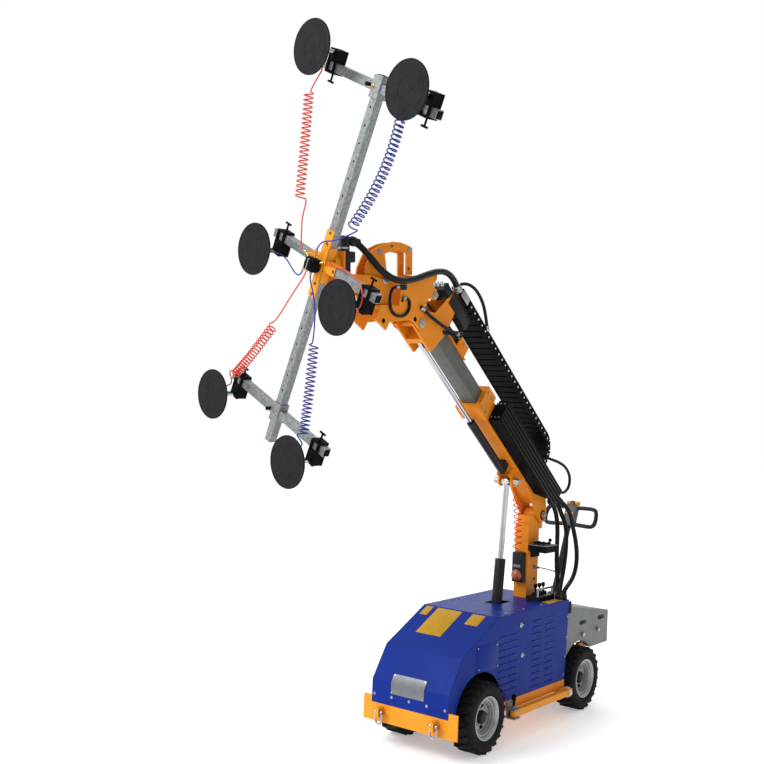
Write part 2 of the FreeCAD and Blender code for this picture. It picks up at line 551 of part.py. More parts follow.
# Beacon box on the column's front, amber lens at its foot.
keep("beacon", join("beacon_box", [
    block("beacon_case", both("beacon_half"), ("beacon_front + lens_radius / 2", "column_front"),
          ("beacon_bottom + lens_height", "beacon_top")),
    bar("beacon_lens", "Z", ("0", "column_front - lens_radius - side_gap"), "lens_radius",
        ("beacon_bottom", "beacon_bottom + lens_height")),
    block("beacon_foot", both("lens_radius * 0.6"), ("column_front - lens_radius", "column_front"),
          ("beacon_bottom + lens_height * 0.4", "beacon_bottom + lens_height")),
]))

# Stabilisers: a clevis on each sill and an arm that swings out about an upright pin.
ARM_LOW = "stay_z - stay_section / 2"
ARM_HIGH = "stay_z + stay_section / 2"
clevises = []
for side_name, sign in (("left", 1), ("right", -1)):
    plate_x = (SILL_OUT, SILL_OUT + " + stay_reach + stay_half * 0.9")
    back_x = (SILL_OUT, SILL_OUT + " + stay_plate * 0.7")
    if sign < 0:
        plate_x = ("-(%s)" % plate_x[1], "-(%s)" % plate_x[0])
        back_x = ("-(%s)" % back_x[1], "-(%s)" % back_x[0])
    across = ("%d * (%s + stay_reach)" % (sign, SILL_OUT), "stay_y")
    span = ("stay_y - stay_half", "stay_y + stay_half")
    clevises.append(join("clevis_" + side_name, [
        block("clevis_top_" + side_name, plate_x, span,
              (ARM_HIGH + " + seat_gap", ARM_HIGH + " + seat_gap + stay_plate")),
        block("clevis_bottom_" + side_name, plate_x, span,
              (ARM_LOW + " - seat_gap - stay_plate", ARM_LOW + " - seat_gap")),
        block("clevis_back_" + side_name, back_x, span,
              (ARM_LOW + " - seat_gap - stay_plate", "rail_top - side_gap")),
        bar("clevis_pin_" + side_name, "Z", across, "stay_pin",
            (ARM_LOW + " - stay_plate * 1.5", ARM_HIGH + " + stay_plate * 2.5")),
    ]))
    arm_end = "stay_y + stay_length"
    across_x = across[0]
    arm = join("stay_" + side_name, [
        bar("stay_eye_" + side_name, "Z", across, "stay_section / 2", (ARM_LOW, ARM_HIGH)),
        block("stay_tube_" + side_name, (across_x + " - stay_section / 2",
                                         across_x + " + stay_section / 2"),
              ("stay_y", arm_end), (ARM_LOW, ARM_HIGH)),
        bar("stay_foot_" + side_name, "Y", (across_x, "stay_z"), "foot_radius",
            (arm_end, arm_end + " + foot_length")),
        block("stay_cap_" + side_name, (across_x + " - foot_radius", across_x + " + foot_radius"),
              (arm_end + " - foot_length * 2", arm_end + " + foot_length"),
              (ARM_HIGH, ARM_HIGH + " + stay_plate / 2")),
    ])
    bore = bar("stay_bore_" + side_name, "Z", across, "stay_pin + running_gap",
               (ARM_LOW + " - overrun", ARM_HIGH + " + overrun"))
    keep("stabiliser_arm_" + side_name, cut("stay_bored_" + side_name, arm, [bore]))
keep("stabiliser_brackets", group("clevis_pair", clevises))

# Tiller: leaning tube on the counterweight's lugs, control head with two loops, thumb wheels.
TILLER = Placement(Vector(0, size("tiller_y"), size("tiller_pin_height")), Rotation(X_AXIS,
                                                                                    -size("tiller_lean")))
tiller_tube = join("tiller_shaft", [
    bar("tiller_eye", "X", ("0", "0"), "tiller_tube * 1.2", both("tiller_lug_gap - seat_gap * 2")),
    bar("tiller_pipe", "Z", ("0", "0"), "tiller_tube", ("0", "tiller_length")),
])
keep("tiller_arm", cut("tiller_arm_bored", tiller_tube, [
    bar("tiller_bore", "X", ("0", "0"), "tiller_pin + running_gap", both("tiller_lug_gap"))]), TILLER)

HEAD_LOW = "tiller_length"
HEAD_HIGH = "tiller_length + tiller_head_height"
LOOP_TOP = "tiller_length + loop_rise"
head_pieces = [block("tiller_case", both("tiller_head_half"), both("tiller_head_depth / 2"), (HEAD_LOW,
                                                                                              HEAD_HIGH))]
for side_name, sign in (("left", 1), ("right", -1)):
    inner = "%d * tiller_head_half * 0.8" % sign
    outer = "%d * loop_half" % sign
    span = (inner, outer) if sign > 0 else (outer, inner)
    for name, place in (("low", HEAD_LOW + " + loop_bar * 1.4"), ("high", LOOP_TOP)):
        head_pieces.append(bar("loop_%s_%s" % (name, side_name), "X", ("0", place), "loop_bar", span))
    head_pieces.append(bar("loop_end_" + side_name, "Z", (outer, "0"), "loop_bar",
                           (HEAD_LOW + " - side_gap", LOOP_TOP + " + loop_bar + side_gap")))
SHAFT_Z = HEAD_HIGH + " + thumb_radius * 0.8"
head_pieces.append(block("thumb_ears", both("tiller_head_half * 0.3"), both("thumb_radius * 0.6"),
                         (HEAD_HIGH, SHAFT_Z + " + thumb_radius * 0.7")))
head_bore = bar("thumb_bore", "X", ("0", SHAFT_Z), "thumb_shaft + running_gap", both("tiller_head_half"))
keep("tiller_head", cut("tiller_head_bored", join("tiller_head_whole", head_pieces), [head_bore]), TILLER)
WHEEL_IN = "tiller_head_half * 0.3 + side_gap"
keep("tiller_thumbwheels", join("thumb_pair", [
    bar("thumb_axle", "X", ("0", SHAFT_Z), "thumb_shaft", both(WHEEL_IN + " + thumb_width")),
    bar("thumb_left", "X", ("0", SHAFT_Z), "thumb_radius * 0.32 + thumb_shaft",
        (WHEEL_IN, WHEEL_IN + " + thumb_width")),
    bar("thumb_right", "X", ("0", SHAFT_Z), "thumb_radius * 0.32 + thumb_shaft",
        ("-(%s + thumb_width)" % WHEEL_IN, "-(%s)" % WHEEL_IN)),
]), TILLER)

# Boom: outer tube with its pivot cheeks and pin, collar and lift lugs.
BOOM_HALF = "boom_section / 2"
AXIS_LOW = "boom_axis - " + BOOM_HALF
CHEEK_OUTLINE = [
    ("-cheek_front", AXIS_LOW), ("-cheek_front", "boom_axis"), ("-boom_back",
                                                                "boom_axis + boom_section / 3"),
    ("pivot_boss / 2", "pivot_boss * 0.9"), ("pivot_boss", "0"), ("pivot_boss / 2", "-pivot_boss * 0.9"),
    ("-pivot_boss / 2", "-pivot_boss * 0.9"),
]
LIFT_EYE_PLACE = ("-boom_lug_y", "-boom_lug_drop")
LUG_OUT = "boom_lug_inner + boom_lug_thickness"
outer_tube = join("outer_tube_pieces", [
    block("outer_tube", both(BOOM_HALF), ("-boom_front", "-boom_back"),
          (AXIS_LOW, "boom_axis + " + BOOM_HALF)),
    block("collar", both("collar_section / 2"), ("-collar_front", "-collar_back"),
          ("boom_axis - collar_section / 2", "boom_axis + collar_section / 2")),
])
BOOM_CORE = BOOM_HALF + " - boom_wall"
INNER_HALF = "inner_section / 2"
hollow_tube = cut("outer_tube_hollow", outer_tube, [
    block("outer_core", both(BOOM_CORE), ("-collar_back", "overrun - boom_back"),
          ("boom_axis - (%s)" % BOOM_CORE, "boom_axis + " + BOOM_CORE)),
    block("collar_core", both(INNER_HALF + " + seat_gap"), ("-collar_front - overrun",
                                                            "overrun - collar_back"),
          ("boom_axis - %s - seat_gap" % INNER_HALF, "boom_axis + %s + seat_gap" % INNER_HALF)),
])
boom_pieces = [hollow_tube] + plates("cheek", CHEEK_OUTLINE, "cheek_inner", "cheek_thickness")
boom_pieces.append(bar("pivot_pin_bar", "X", ("0", "0"), "pivot_pin",
                       both("cheek_inner + cheek_thickness * 1.6")))
for side_name, sign in (("left", 1), ("right", -1)):
    span = ["boom_lug_inner", LUG_OUT]
    ring = [LUG_OUT, LUG_OUT + " + stub_ring_length"]
    if sign < 0:
        span = ["-(%s)" % span[1], "-(%s)" % span[0]]
        ring = ["-(%s)" % ring[1], "-(%s)" % ring[0]]
    boom_pieces.append(block("boom_lug_" + side_name, span,
                             ("-boom_lug_y - boom_lug_half", "boom_lug_half - boom_lug_y"),
                             ("-boom_lug_drop", AXIS_LOW + " + boom_wall / 2")))
    boom_pieces.append(bar("boom_lug_round_" + side_name, "X", LIFT_EYE_PLACE, "boom_lug_radius", span))
    boom_pieces.append(bar("boom_lug_ring_" + side_name, "X", LIFT_EYE_PLACE, "stub_pin_ring", ring))
keep("boom_tube", cut("boom_clear", join("boom_weldment", boom_pieces), [
    block("slider_path", both(BOOM_CORE), ("-cheek_front - overrun", "overrun - boom_back"),
          ("boom_axis - (%s)" % BOOM_CORE, "boom_axis + " + BOOM_CORE))]), BOOM)

COVER_OUTLINE = [
    ("-cover_front", "cover_low"), ("-cover_front", "cover_high"), ("-cover_back", "cover_high"),
    ("-cover_back", "cover_low + cover_high * 0.4"), ("-cover_front * 0.2", "cover_low"),
]
cover_box = plate("cover_box", COVER_OUTLINE, BOOM_HALF, BOOM_HALF + " + cover_width")
cover_step = block("cover_step", (BOOM_HALF + " - overrun", "chain_half_width + side_gap"),
                   ("-cover_front - overrun", "overrun - cover_back"),
                   ("boom_axis + " + BOOM_HALF, "cover_high + overrun"))
keep("boom_cover", cut("cover_stepped", cover_box, [cover_step]), BOOM)

EXT = ("0", "-ext_drop")
ext_saddle = block("ext_saddle", both("ext_radius"), ("-ext_back - ext_radius * 2", "-ext_back"),
                   ("-ext_drop", AXIS_LOW))
ext_body = join("ext_body", [bar("ext_case", "Y", EXT, "ext_radius", ("-ext_front", "-ext_back")),
                             ext_saddle])
keep("extension_barrel", cut("ext_bored", ext_body, [
    bar("ext_bore", "Y", EXT, "ext_rod + seat_gap", ("-ext_front - overrun", "-ext_back - ext_rod"))]),
    BOOM)
ext_rod_bar = bar("ext_rod_bar", "Y", EXT, "ext_rod", ("-inner_front + head_block", "-ext_rod_back"))
keep("extension_rod", group("ext_rod_set", [ext_rod_bar]), BOOM)

SLIDER_HALF = BOOM_CORE + " - seat_gap"
inner_whole = join("inner_tube_pieces", [
    block("inner_tube_bar", both(INNER_HALF), ("-inner_front", "-inner_back"),
          ("boom_axis - " + INNER_HALF, "boom_axis + " + INNER_HALF)),
    block("inner_slider", both(SLIDER_HALF), ("-inner_back - slider_length", "-inner_back"),
          ("boom_axis - (%s)" % SLIDER_HALF, "boom_axis + " + SLIDER_HALF)),
])
INNER_CORE = INNER_HALF + " - inner_wall"
keep("inner_tube", cut("inner_tube_hollow", inner_whole, [
    block("inner_core", both(INNER_CORE), ("-inner_front + head_block", "overrun - inner_back"),
          ("boom_axis - (%s)" % INNER_CORE, "boom_axis + " + INNER_CORE))]), BOOM)

# Energy chain: lower run on the tube, half turn at the back, upper run to the head.
CHAIN_LOW = "boom_axis + %s + chain_height / 2" % BOOM_HALF
CHAIN_MID = CHAIN_LOW + " + chain_radius"
CHAIN_HIGH = CHAIN_MID + " + chain_radius"
CHAIN_X = both("chain_half_width")
bend = []
for name, radius in (("out", "chain_radius + chain_height / 2"), ("in", "chain_radius - chain_height / 2")):
    disc = bar("chain_turn_" + name, "X", ("-chain_bend", CHAIN_MID), radius, CHAIN_X)
    disc.Angle = 180
    bend.append(disc)
keep("energy_chain", join("chain_whole", [
    cut("chain_bend_ring", bend[0], [bend[1]]),
    block("chain_lower", CHAIN_X, ("-chain_lower_front", "-chain_bend"),
          (CHAIN_LOW + " - chain_height / 2", CHAIN_LOW + " + chain_height / 2")),
    block("chain_upper", CHAIN_X, ("-chain_upper_front", "-chain_bend"),
          (CHAIN_HIGH + " - chain_height / 2", CHAIN_HIGH + " + chain_height / 2")),
]), BOOM)

# Boom head: cheeks round the end of the inner tube down to the tilt pin, lugs for the tilt
# cylinder, and the bracket that holds the end of the chain.
INNER_TOP = "boom_axis + " + INNER_HALF
HEAD_OUTLINE = [
    ("-head_back", "boom_axis"), ("-head_back", INNER_TOP), ("-inner_front", INNER_TOP),
    ("-tilt_y - nose_reach", "head_low"), ("-tilt_y - nose_reach", "-head_low"), ("head_low - tilt_y", "-head_low"),
    ("-inner_front + head_block * 3", "-head_low"),
]
head_pieces = plates("head_cheek", HEAD_OUTLINE, INNER_HALF, "head_thickness")
head_pieces.append(block("head_bridge", both(INNER_HALF), ("-inner_front", "-inner_front + head_block"),
                         ("-head_low", "boom_axis - " + INNER_HALF)))
TILT_BACK = "-tilt_lug_y + tilt_lug_half"
LUG_IN = "tilt_barrel + side_gap"
head_pieces += sides("tilt_lug", LUG_IN, LUG_IN + " + tilt_lug_thickness",
                     ("-tilt_lug_y - tilt_lug_half", TILT_BACK), (INNER_TOP,
                                                                  "tilt_lug_z + tilt_lug_pin * 2"))
head_pieces.append(bar("tilt_lug_pin_bar", "X", ("-tilt_lug_y", "tilt_lug_z"), "tilt_lug_pin",
                       both(LUG_IN + " + tilt_lug_thickness * 1.5")))
head_pieces.append(block("tilt_lug_base", both(INNER_HALF + " + head_thickness"),
                         ("-head_back - head_block", TILT_BACK), (INNER_TOP,
                                                                  INNER_TOP + " + head_thickness / 3")))
CHAIN_SEAT = CHAIN_HIGH + " - chain_height / 2"
BRACKET_OUTLINE = [
    ("-head_back", INNER_TOP), ("-chain_upper_front + head_block", CHAIN_SEAT),
    ("-chain_upper_front - head_block", CHAIN_SEAT), ("-inner_front", INNER_TOP),
]
head_pieces += plates("chain_bracket", BRACKET_OUTLINE, "bracket_inner", "bracket_thickness")
head_pieces.append(block("chain_seat", both("bracket_inner + bracket_thickness"),
                         ("-chain_upper_front - head_block", "-chain_upper_front + head_block"),
                         (CHAIN_SEAT + " - bracket_thickness", CHAIN_SEAT)))
keep("boom_head", cut("boom_head_bored", join("boom_head_whole", head_pieces), [
    bar("tilt_bore", "X", ("-tilt_y", "-tilt_drop"), "tilt_pin + running_gap",
        both(INNER_HALF + " + head_thickness * 2"))]), BOOM)


def cylinder_frame(start, end):
    """A frame at a pin whose Z runs along a cylinder in the side view."""
    run = end - start
    return Placement(start, Rotation(X_AXIS, -math.degrees(math.atan2(run.y, run.z))))


def barrel_and_rod(prefix, frame, reach, pin):
    """A barrel with an eye on its pin, and a rod with an eye at a length."""
    names = {key: "%s_%s" % (prefix, key) for key in ("barrel", "wall", "barrel_length", "rod",
                                                      "rod_start", "eye")}
    centre = ("0", "0")
    inside = "%s - %s" % (names["barrel"], names["wall"])
    case = join(prefix + "_case", [
        bar(prefix + "_tube", "Z", centre, names["barrel"], ("%s * 1.2" % pin, names["barrel_length"])),
        bar(prefix + "_foot", "X", centre, names["barrel"] + " * 0.8", both(names["barrel"] + " * 0.8")),
    ])
    bores = [
        bar(prefix + "_bore", "Z", centre, names["rod"] + " + seat_gap",
            ("%s * 2.5" % pin, names["barrel_length"] + " + overrun")),
        bar(prefix + "_chamber", "Z", centre, inside,
            ("%s * 2.5" % pin, "%s - %s" % (names["barrel_length"], names["barrel"]))),
        bar(prefix + "_pin_bore", "X", centre, pin + " + running_gap", both(names["barrel"] + " * 2")),
    ]
    keep(prefix + "_barrel", cut(prefix + "_bored", case, bores), frame)
    top = doc.addObject("Part::Cylinder", prefix + "_rod_eye")
    top.Placement = Placement(Vector(-size(names["eye"]), 0, reach), TURNS["X"])
    bind(top, "Radius", names["eye"])
    bind(top, "Height", names["eye"] + " * 2")
    stick = doc.addObject("Part::Cylinder", prefix + "_rod_bar")
    bind(stick, "Radius", names["rod"])
    stick.Height = reach - size(names["rod_start"])
    bind(stick, "Placement.Base.z", names["rod_start"])
    piston = bar(prefix + "_piston", "Z", centre, inside + " - seat_gap",
                 (names["rod_start"], "%s + %s" % (names["rod_start"], names["rod"])))
    return [top, stick, piston]


# Lift cylinder from the chassis to the boom; its upper eye stands free between the boom's lugs.
LIFT_FOOT = Vector(0, size("lift_pin_y"), size("lift_pin_z"))
LIFT_EYE = BOOM.multVec(Vector(0, -size("boom_lug_y"), -size("boom_lug_drop")))
LIFT = cylinder_frame(LIFT_FOOT, LIFT_EYE)
lift_rod = barrel_and_rod("lift", LIFT, (LIFT_EYE - LIFT_FOOT).Length, "lift_pin")
keep("lift_rod", join("lift_rod_whole", lift_rod), LIFT)

# Tilt cylinder from the boom head to the yoke; its rod eye stands free between the plates.
TILT_FOOT = BOOM.multVec(Vector(0, -size("tilt_lug_y"), size("tilt_lug_z")))
TILT_EYE = BOOM.multVec(Vector(0, -size("tilt_y") - size("tilt_arm_y"),
                               size("tilt_arm_z") - size("tilt_drop")))
TILT = cylinder_frame(TILT_FOOT, TILT_EYE)
tilt_rod = barrel_and_rod("tilt", TILT, (TILT_EYE - TILT_FOOT).Length, "tilt_lug_pin")
keep("tilt_rod", join("tilt_rod_whole", tilt_rod), TILT)

# Yoke: two plates on the tilt pin, a shelf between them and the upright swing post.
YOKE_OUTLINE = [
    ("-yoke_front * 0.8", "-yoke_low * 0.75"), ("-yoke_front * 1.03", "yoke_low * 0.15"),
    ("-yoke_front * 0.9", "yoke_shelf"), ("-yoke_front * 0.52", "yoke_shelf"),
    ("-yoke_front * 0.46", "yoke_high * 0.79"), ("yoke_back * 0.11", "yoke_high"),
    ("yoke_back * 0.91", "yoke_high * 0.98"), ("yoke_back * 0.88", "yoke_high * 0.88"),
    ("yoke_back * 0.6", "yoke_high * 0.79"), ("yoke_back * 0.84", "yoke_high * 0.69"),
    ("yoke_back", "yoke_high * 0.57"), ("yoke_back * 0.8", "yoke_high * 0.47"),
    ("yoke_back * 0.44", "yoke_high * 0.51"), ("0", "yoke_high * 0.24"),
    ("yoke_low * 0.6", "yoke_low * 0.2"), ("yoke_low * 0.5", "-yoke_low * 0.4"),
    ("0", "-yoke_low * 0.6"), ("-yoke_low * 0.6", "-yoke_low * 0.4"),
    ("-yoke_low * 1.1", "yoke_low * 0.05"), ("-yoke_front * 0.25", "yoke_low * 0.22"),
    ("-yoke_front * 0.72", "-yoke_low * 0.05"),
]
yoke_pieces = plates("yoke_plate", YOKE_OUTLINE, "yoke_inner", "yoke_thickness")
yoke_pieces.append(bar("tilt_pin_bar", "X", ("0", "0"), "tilt_pin",
                       both("yoke_inner + yoke_thickness * 1.5")))
yoke_pieces.append(block("yoke_shelf_plate", both("yoke_inner"), ("-yoke_front * 0.86",
                                                                  "-yoke_front * 0.54"),
                         ("yoke_shelf - shelf_thickness", "yoke_shelf")))
yoke_pieces.append(bar("swing_post", "Z", ("0", "-swing_forward"), "post_radius",
                       ("yoke_shelf - shelf_thickness", "post_top")))
keep("tilt_yoke", join("yoke_weldment", yoke_pieces), YOKE)

# Swing bracket: a knuckle on the post, two plates, the front plate and the hose arch.
SWING_OUTLINE = [
    ("swing_back", "knuckle_low + side_gap"), ("swing_back", "swing_top - knuckle_radius / 2"),
    ("-front_plate * 0.35", "swing_top"), ("-front_plate", "swing_top"), ("-front_plate",
                                                                          "front_plate_low"),
    ("-front_plate * 0.38", "front_plate_low * 0.91"), ("-front_plate * 0.32", "knuckle_low + side_gap"),
]
ARCH_OUTLINE = [
    ("-arch_front", "swing_top"), ("-arch_front * 0.94", "arch_high * 0.66"),
    ("-arch_front * 0.58", "arch_high * 0.87"), ("-arch_front * 0.27", "arch_high * 0.92"),
    ("arch_back * 0.03", "arch_high * 0.965"), ("arch_back * 0.31", "arch_high"),
    ("arch_back * 0.59", "arch_high"), ("arch_back * 0.8", "arch_high * 0.98"),
    ("arch_back", "arch_high * 0.95"), ("arch_back", "arch_high * 0.605"),
    ("arch_back - arch_bar", "arch_high * 0.605"), ("arch_back - arch_bar", "arch_high * 0.88"),
    ("arch_back * 0.52", "arch_high * 0.89"), ("arch_back * 0.28", "arch_high * 0.88"),
    ("arch_back * 0.04", "arch_high * 0.84"), ("arch_back * 0.13", "swing_top"),
]
TOP_LOW = "swing_top - swing_thickness"
swing_pieces = plates("swing_plate", SWING_OUTLINE, "swing_inner", "swing_thickness")
swing_pieces.append(bar("knuckle", "Z", ("0", "0"), "knuckle_radius", ("knuckle_low", "swing_top")))
swing_pieces.append(block("swing_top_plate", both("swing_inner"), ("-front_plate", "-knuckle_radius / 2"),
                          (TOP_LOW, "swing_top")))
swing_pieces.append(block("swing_front_plate", both("front_plate_half"),
                          ("-front_plate - front_plate_thickness", "-front_plate"),
                          ("front_plate_low", "front_plate_high")))
swing_pieces += plates("hose_arch", ARCH_OUTLINE, "arch_inner", "arch_thickness")
for name, place in (("front", ("-arch_front * 0.2", "arch_high * 0.86")),
                    ("back", ("arch_back * 0.9", "arch_high * 0.92"))):
    swing_pieces.append(bar("arch_tie_" + name, "X", place, "arch_tie", both("arch_inner + arch_thickness / 2")))
keep("swing_bracket", cut("swing_bored", join("swing_weldment", swing_pieces), [
    bar("post_bore", "Z", ("0", "0"), "post_radius + running_gap", ("knuckle_low - overrun",
                                                                    "post_top + seat_gap")),
    bar("hub_bore", "Y", ("0", "hub_rise"), "hub_shaft + running_gap",
        ("-front_plate - front_plate_thickness - overrun", "overrun - front_plate")),
]), SWING)

MOTOR_PLACE = ("0", "-motor_forward")
keep("rotator_motor", join("motor_whole", [
    bar("motor_gearbox", "Z", MOTOR_PLACE, "motor_radius", ("swing_top", "motor_step")),
    bar("motor_case", "Z", MOTOR_PLACE, "motor_top_radius", ("motor_step", "motor_top")),
]), SWING)

# Turning frame. Its own axes: X along the cross arms, Z along the main beam, -Y to the glass.
BEAM_HALF = "beam_section / 2"
SLEEVE_HALF = "hub_sleeve / 2"
SLEEVE_CORE = BEAM_HALF + " + seat_gap"
ARM_HALF = "arm_section / 2"
PLATE_FACE = "hub_forward - front_plate - front_plate_thickness - seat_gap"
hub_whole = join("hub_pieces", [
    block("hub_sleeve_box", both(SLEEVE_HALF), both(SLEEVE_HALF), both("hub_sleeve_half")),
    bar("hub_flange_disc", "Y", ("0", "0"), "hub_flange", (BEAM_HALF, PLATE_FACE)),
    bar("hub_shaft_bar", "Y", ("0", "0"), "hub_shaft", (BEAM_HALF,
                                                        PLATE_FACE + " + front_plate_thickness + seat_gap")),
    block("hub_arms", both("hub_arm_reach"), both("hub_arm_section / 2"), both("hub_arm_section / 2")),
])
keep("hub_bracket", cut("hub_bored", hub_whole, [
    block("hub_beam_core", both(SLEEVE_CORE), both(SLEEVE_CORE), both("hub_sleeve_half + overrun")),
    block("hub_arm_core_left", (SLEEVE_HALF, "hub_arm_reach + overrun"), both(ARM_HALF + " + seat_gap"),
          both(ARM_HALF + " + seat_gap")),
    block("hub_arm_core_right", ("-hub_arm_reach - overrun", "-" + SLEEVE_HALF),
          both(ARM_HALF + " + seat_gap"),
          both(ARM_HALF + " + seat_gap")),
]), FRAME)

BEAM_CORE = BEAM_HALF + " - beam_wall"
beam_cuts = [block("beam_core", both(BEAM_CORE), both(BEAM_CORE), ("-beam_low - overrun",
                                                                   "beam_high + overrun"))]
HOLE_STEPS = [step for step in range(-9, 10) if abs(step) > 2]
for number, step in enumerate(HOLE_STEPS, start=1):
    beam_cuts.append(bar("beam_hole_%d" % number, "Y", ("0", "%d * beam_pitch" % step), "pin_hole",
                         both(BEAM_HALF + " + overrun")))
keep("main_beam", cut("beam_holed", block("beam_bar", both(BEAM_HALF), both(BEAM_HALF), ("-beam_low",
                                                                                         "beam_high")),
                      beam_cuts), FRAME)

ROWS = [
    ("upper", "arm_high", 1, "pad_offset_high"), ("middle", "0", -1, "pad_offset_low"),
    ("lower", "-arm_low", -1, "pad_offset_low"),
]
arms = []
for row_name, height, side, offset in ROWS:
    spans = [(ARM_HALF, "arm_half"), ("-arm_half", "-" + ARM_HALF)]
    if row_name == "middle":
        spans = [(SLEEVE_HALF, "arm_half"), ("-arm_half", "-" + SLEEVE_HALF)]
    high = (height + " - " + ARM_HALF, height + " + " + ARM_HALF)
    bars = [block("arm_%s_%s" % (row_name, end), span, both(ARM_HALF), high)
            for end, span in zip(("left", "right"), spans)]
    if row_name == "middle":
        arms += bars
        continue
    sleeve_high = (height + " - arm_sleeve_half", height + " + arm_sleeve_half")
    sleeve = join("arm_sleeve_" + row_name, bars + [
        block("arm_sleeve_box_" + row_name, both("arm_sleeve / 2"), both("arm_sleeve / 2"), sleeve_high)])
    arms.append(cut("arm_bored_" + row_name, sleeve, [
        block("arm_core_" + row_name, both(SLEEVE_CORE), both(SLEEVE_CORE),
              (sleeve_high[0] + " - overrun", sleeve_high[1] + " + overrun"))]))
keep("cross_arms", group("arm_set", arms), FRAME)

# Vacuum block on the front of the hub sleeve.
keep("vacuum_block", join("vacuum_unit", [
    block("vacuum_body", ("-vacuum_half - vacuum_shift + %s" % BEAM_HALF,
                          "vacuum_half - vacuum_shift + " + BEAM_HALF),
          ("-%s - vacuum_depth" % SLEEVE_HALF, "-" + SLEEVE_HALF), ("-vacuum_high / 2", "vacuum_high / 2")),
    block("vacuum_strip", ("vacuum_half - vacuum_shift", SLEEVE_HALF),
          ("-%s - vacuum_low" % SLEEVE_HALF, "-" + SLEEVE_HALF), ("-vacuum_high / 2", "vacuum_high / 2")),
]), FRAME)

# Suction pads: a clamp that slides on the arm, a stem, the round pad and a locking knob.
PAD_BACK = "pad_forward - pad_thickness"
PAD_OUTLINE = [
    ("0", "0"), ("0", "pad_boss"), ("pad_thickness * 0.25", "pad_boss"),
    ("pad_thickness * 0.35", "pad_radius * 0.7"), ("pad_thickness * 0.6", "pad_radius * 0.96"),
    ("pad_thickness * 0.75", "pad_radius"), ("pad_thickness", "pad_radius"), ("pad_thickness", "0"),
]
# How far each row's hose nipple stands from the pad's centre, as a share of the way to the hub.
NIPPLE_SHARES = {"upper": 0.065, "middle": 0.18, "lower": 0.067}
for row_name, height, side, offset in ROWS:
    for side_name, sign in (("left", 1), ("right", -1)):
        name = "%s_%s" % (row_name, side_name)
        place = "%d * pad_place" % sign
        stem_z = "%s + %d * %s" % (height, side, offset)
        near = "%s - %d * clamp_half" % (height, side)
        far = "%s + %d * clamp_end" % (stem_z, side)
        tall = (near, far) if side > 0 else (far, near)
        knob_end = "%s - %d * knob_reach" % (near, side)
        knob_span = (knob_end, near) if side > 0 else (near, knob_end)
        wide = (place + " - clamp_half", place + " + clamp_half")
        clamp = join("clamp_" + name, [
            block("clamp_case_" + name, wide, both("clamp_half"), tall),
            bar("stem_" + name, "Y", (place, stem_z), "stem_radius", ("-(%s)" % PAD_BACK,
                                                                      "clamp_half * 1.2")),
            bar("knob_stem_" + name, "Z", (place, "0"), "knob_stem", knob_span),
            bar("knob_bar_" + name, "X", ("0", knob_end), "knob_bar", (place + " - knob_half",
                                                                       place + " + knob_half")),
        ])
        clamp_bored = cut("clamp_bored_" + name, clamp, [
            block("clamp_core_" + name, (wide[0] + " - overrun", wide[1] + " + overrun"),
                  both(ARM_HALF + " + seat_gap"),
                  ("%s - %s - seat_gap" % (height, ARM_HALF), "%s + %s + seat_gap" % (height, ARM_HALF)))])
        pad = turned("pad_" + name, PAD_OUTLINE)
        pad.Placement = Placement(Vector(), Rotation(Z_AXIS, -90))
        bind(pad, "Placement.Base.x", place)
        bind(pad, "Placement.Base.y", "-(%s)" % PAD_BACK)
        bind(pad, "Placement.Base.z", stem_z)
        inward = 1 - NIPPLE_SHARES[row_name]
        nipple = bar("nipple_" + name, "Y", ("%s * %g" % (place, inward), "(%s) * %g" % (stem_z, inward)),
                     "nipple_radius", ("-(%s + pad_thickness / 2)" % PAD_BACK,
                                       "nipple_length - (%s)" % PAD_BACK))
        pad_whole = join("pad_whole_" + name, [pad, nipple])
        keep("suction_pad_" + name, group("pad_set_" + name, [clamp_bored, pad_whole]), FRAME)

# Hoses. A route is a list of hand-chosen points; the tube follows straight runs and arcs.
BEND_SHARE = 0.45
LEAD_EASE = 2.5


def route_edges(points, label):
    """Straight runs joined by tangent arcs, each as large as its two runs allow."""
    edges = []
    radii = []
    start = points[0]
    for before, corner, after in zip(points, points[1:], points[2:]):
        back = before - corner
        on = after - corner
        turn = math.pi - back.getAngle(on)
        reach = BEND_SHARE * min(back.Length, on.Length)
        first = corner + back.normalize() * reach
        last = corner + on.normalize() * reach
        radius = reach / math.tan(turn / 2)
        inward = ((first + last) * 0.5 - corner).normalize()
        middle = corner + inward * (radius / math.cos(turn / 2) - radius)
        edges.append(Part.LineSegment(start, first).toShape())
        edges.append(Part.Arc(first, middle, last).toShape())
        radii.append(radius)
        start = last
    edges.append(Part.LineSegment(start, points[-1]).toShape())
    print("%s: bend radii %s mm" % (label, " ".join("%.0f" % radius for radius in radii)))
    return edges


def tube(edges, diameter, label):
    """One unbroken tube along a chain of edges."""
    path = Part.Wire(edges)
    start = edges[0].valueAt(edges[0].FirstParameter)
    heading = edges[0].tangentAt(edges[0].FirstParameter)
    ring = Part.Wire(Part.Circle(start, heading, diameter / 2).toShape())
    solid = path.makePipeShell([ring], True, False)
    ideal = math.pi * diameter * diameter / 4 * path.Length
    print("%s: length %.0f mm, volume over section times length %.4f" % (label, path.Length,
                                                                         solid.Volume / ideal))
    return solid


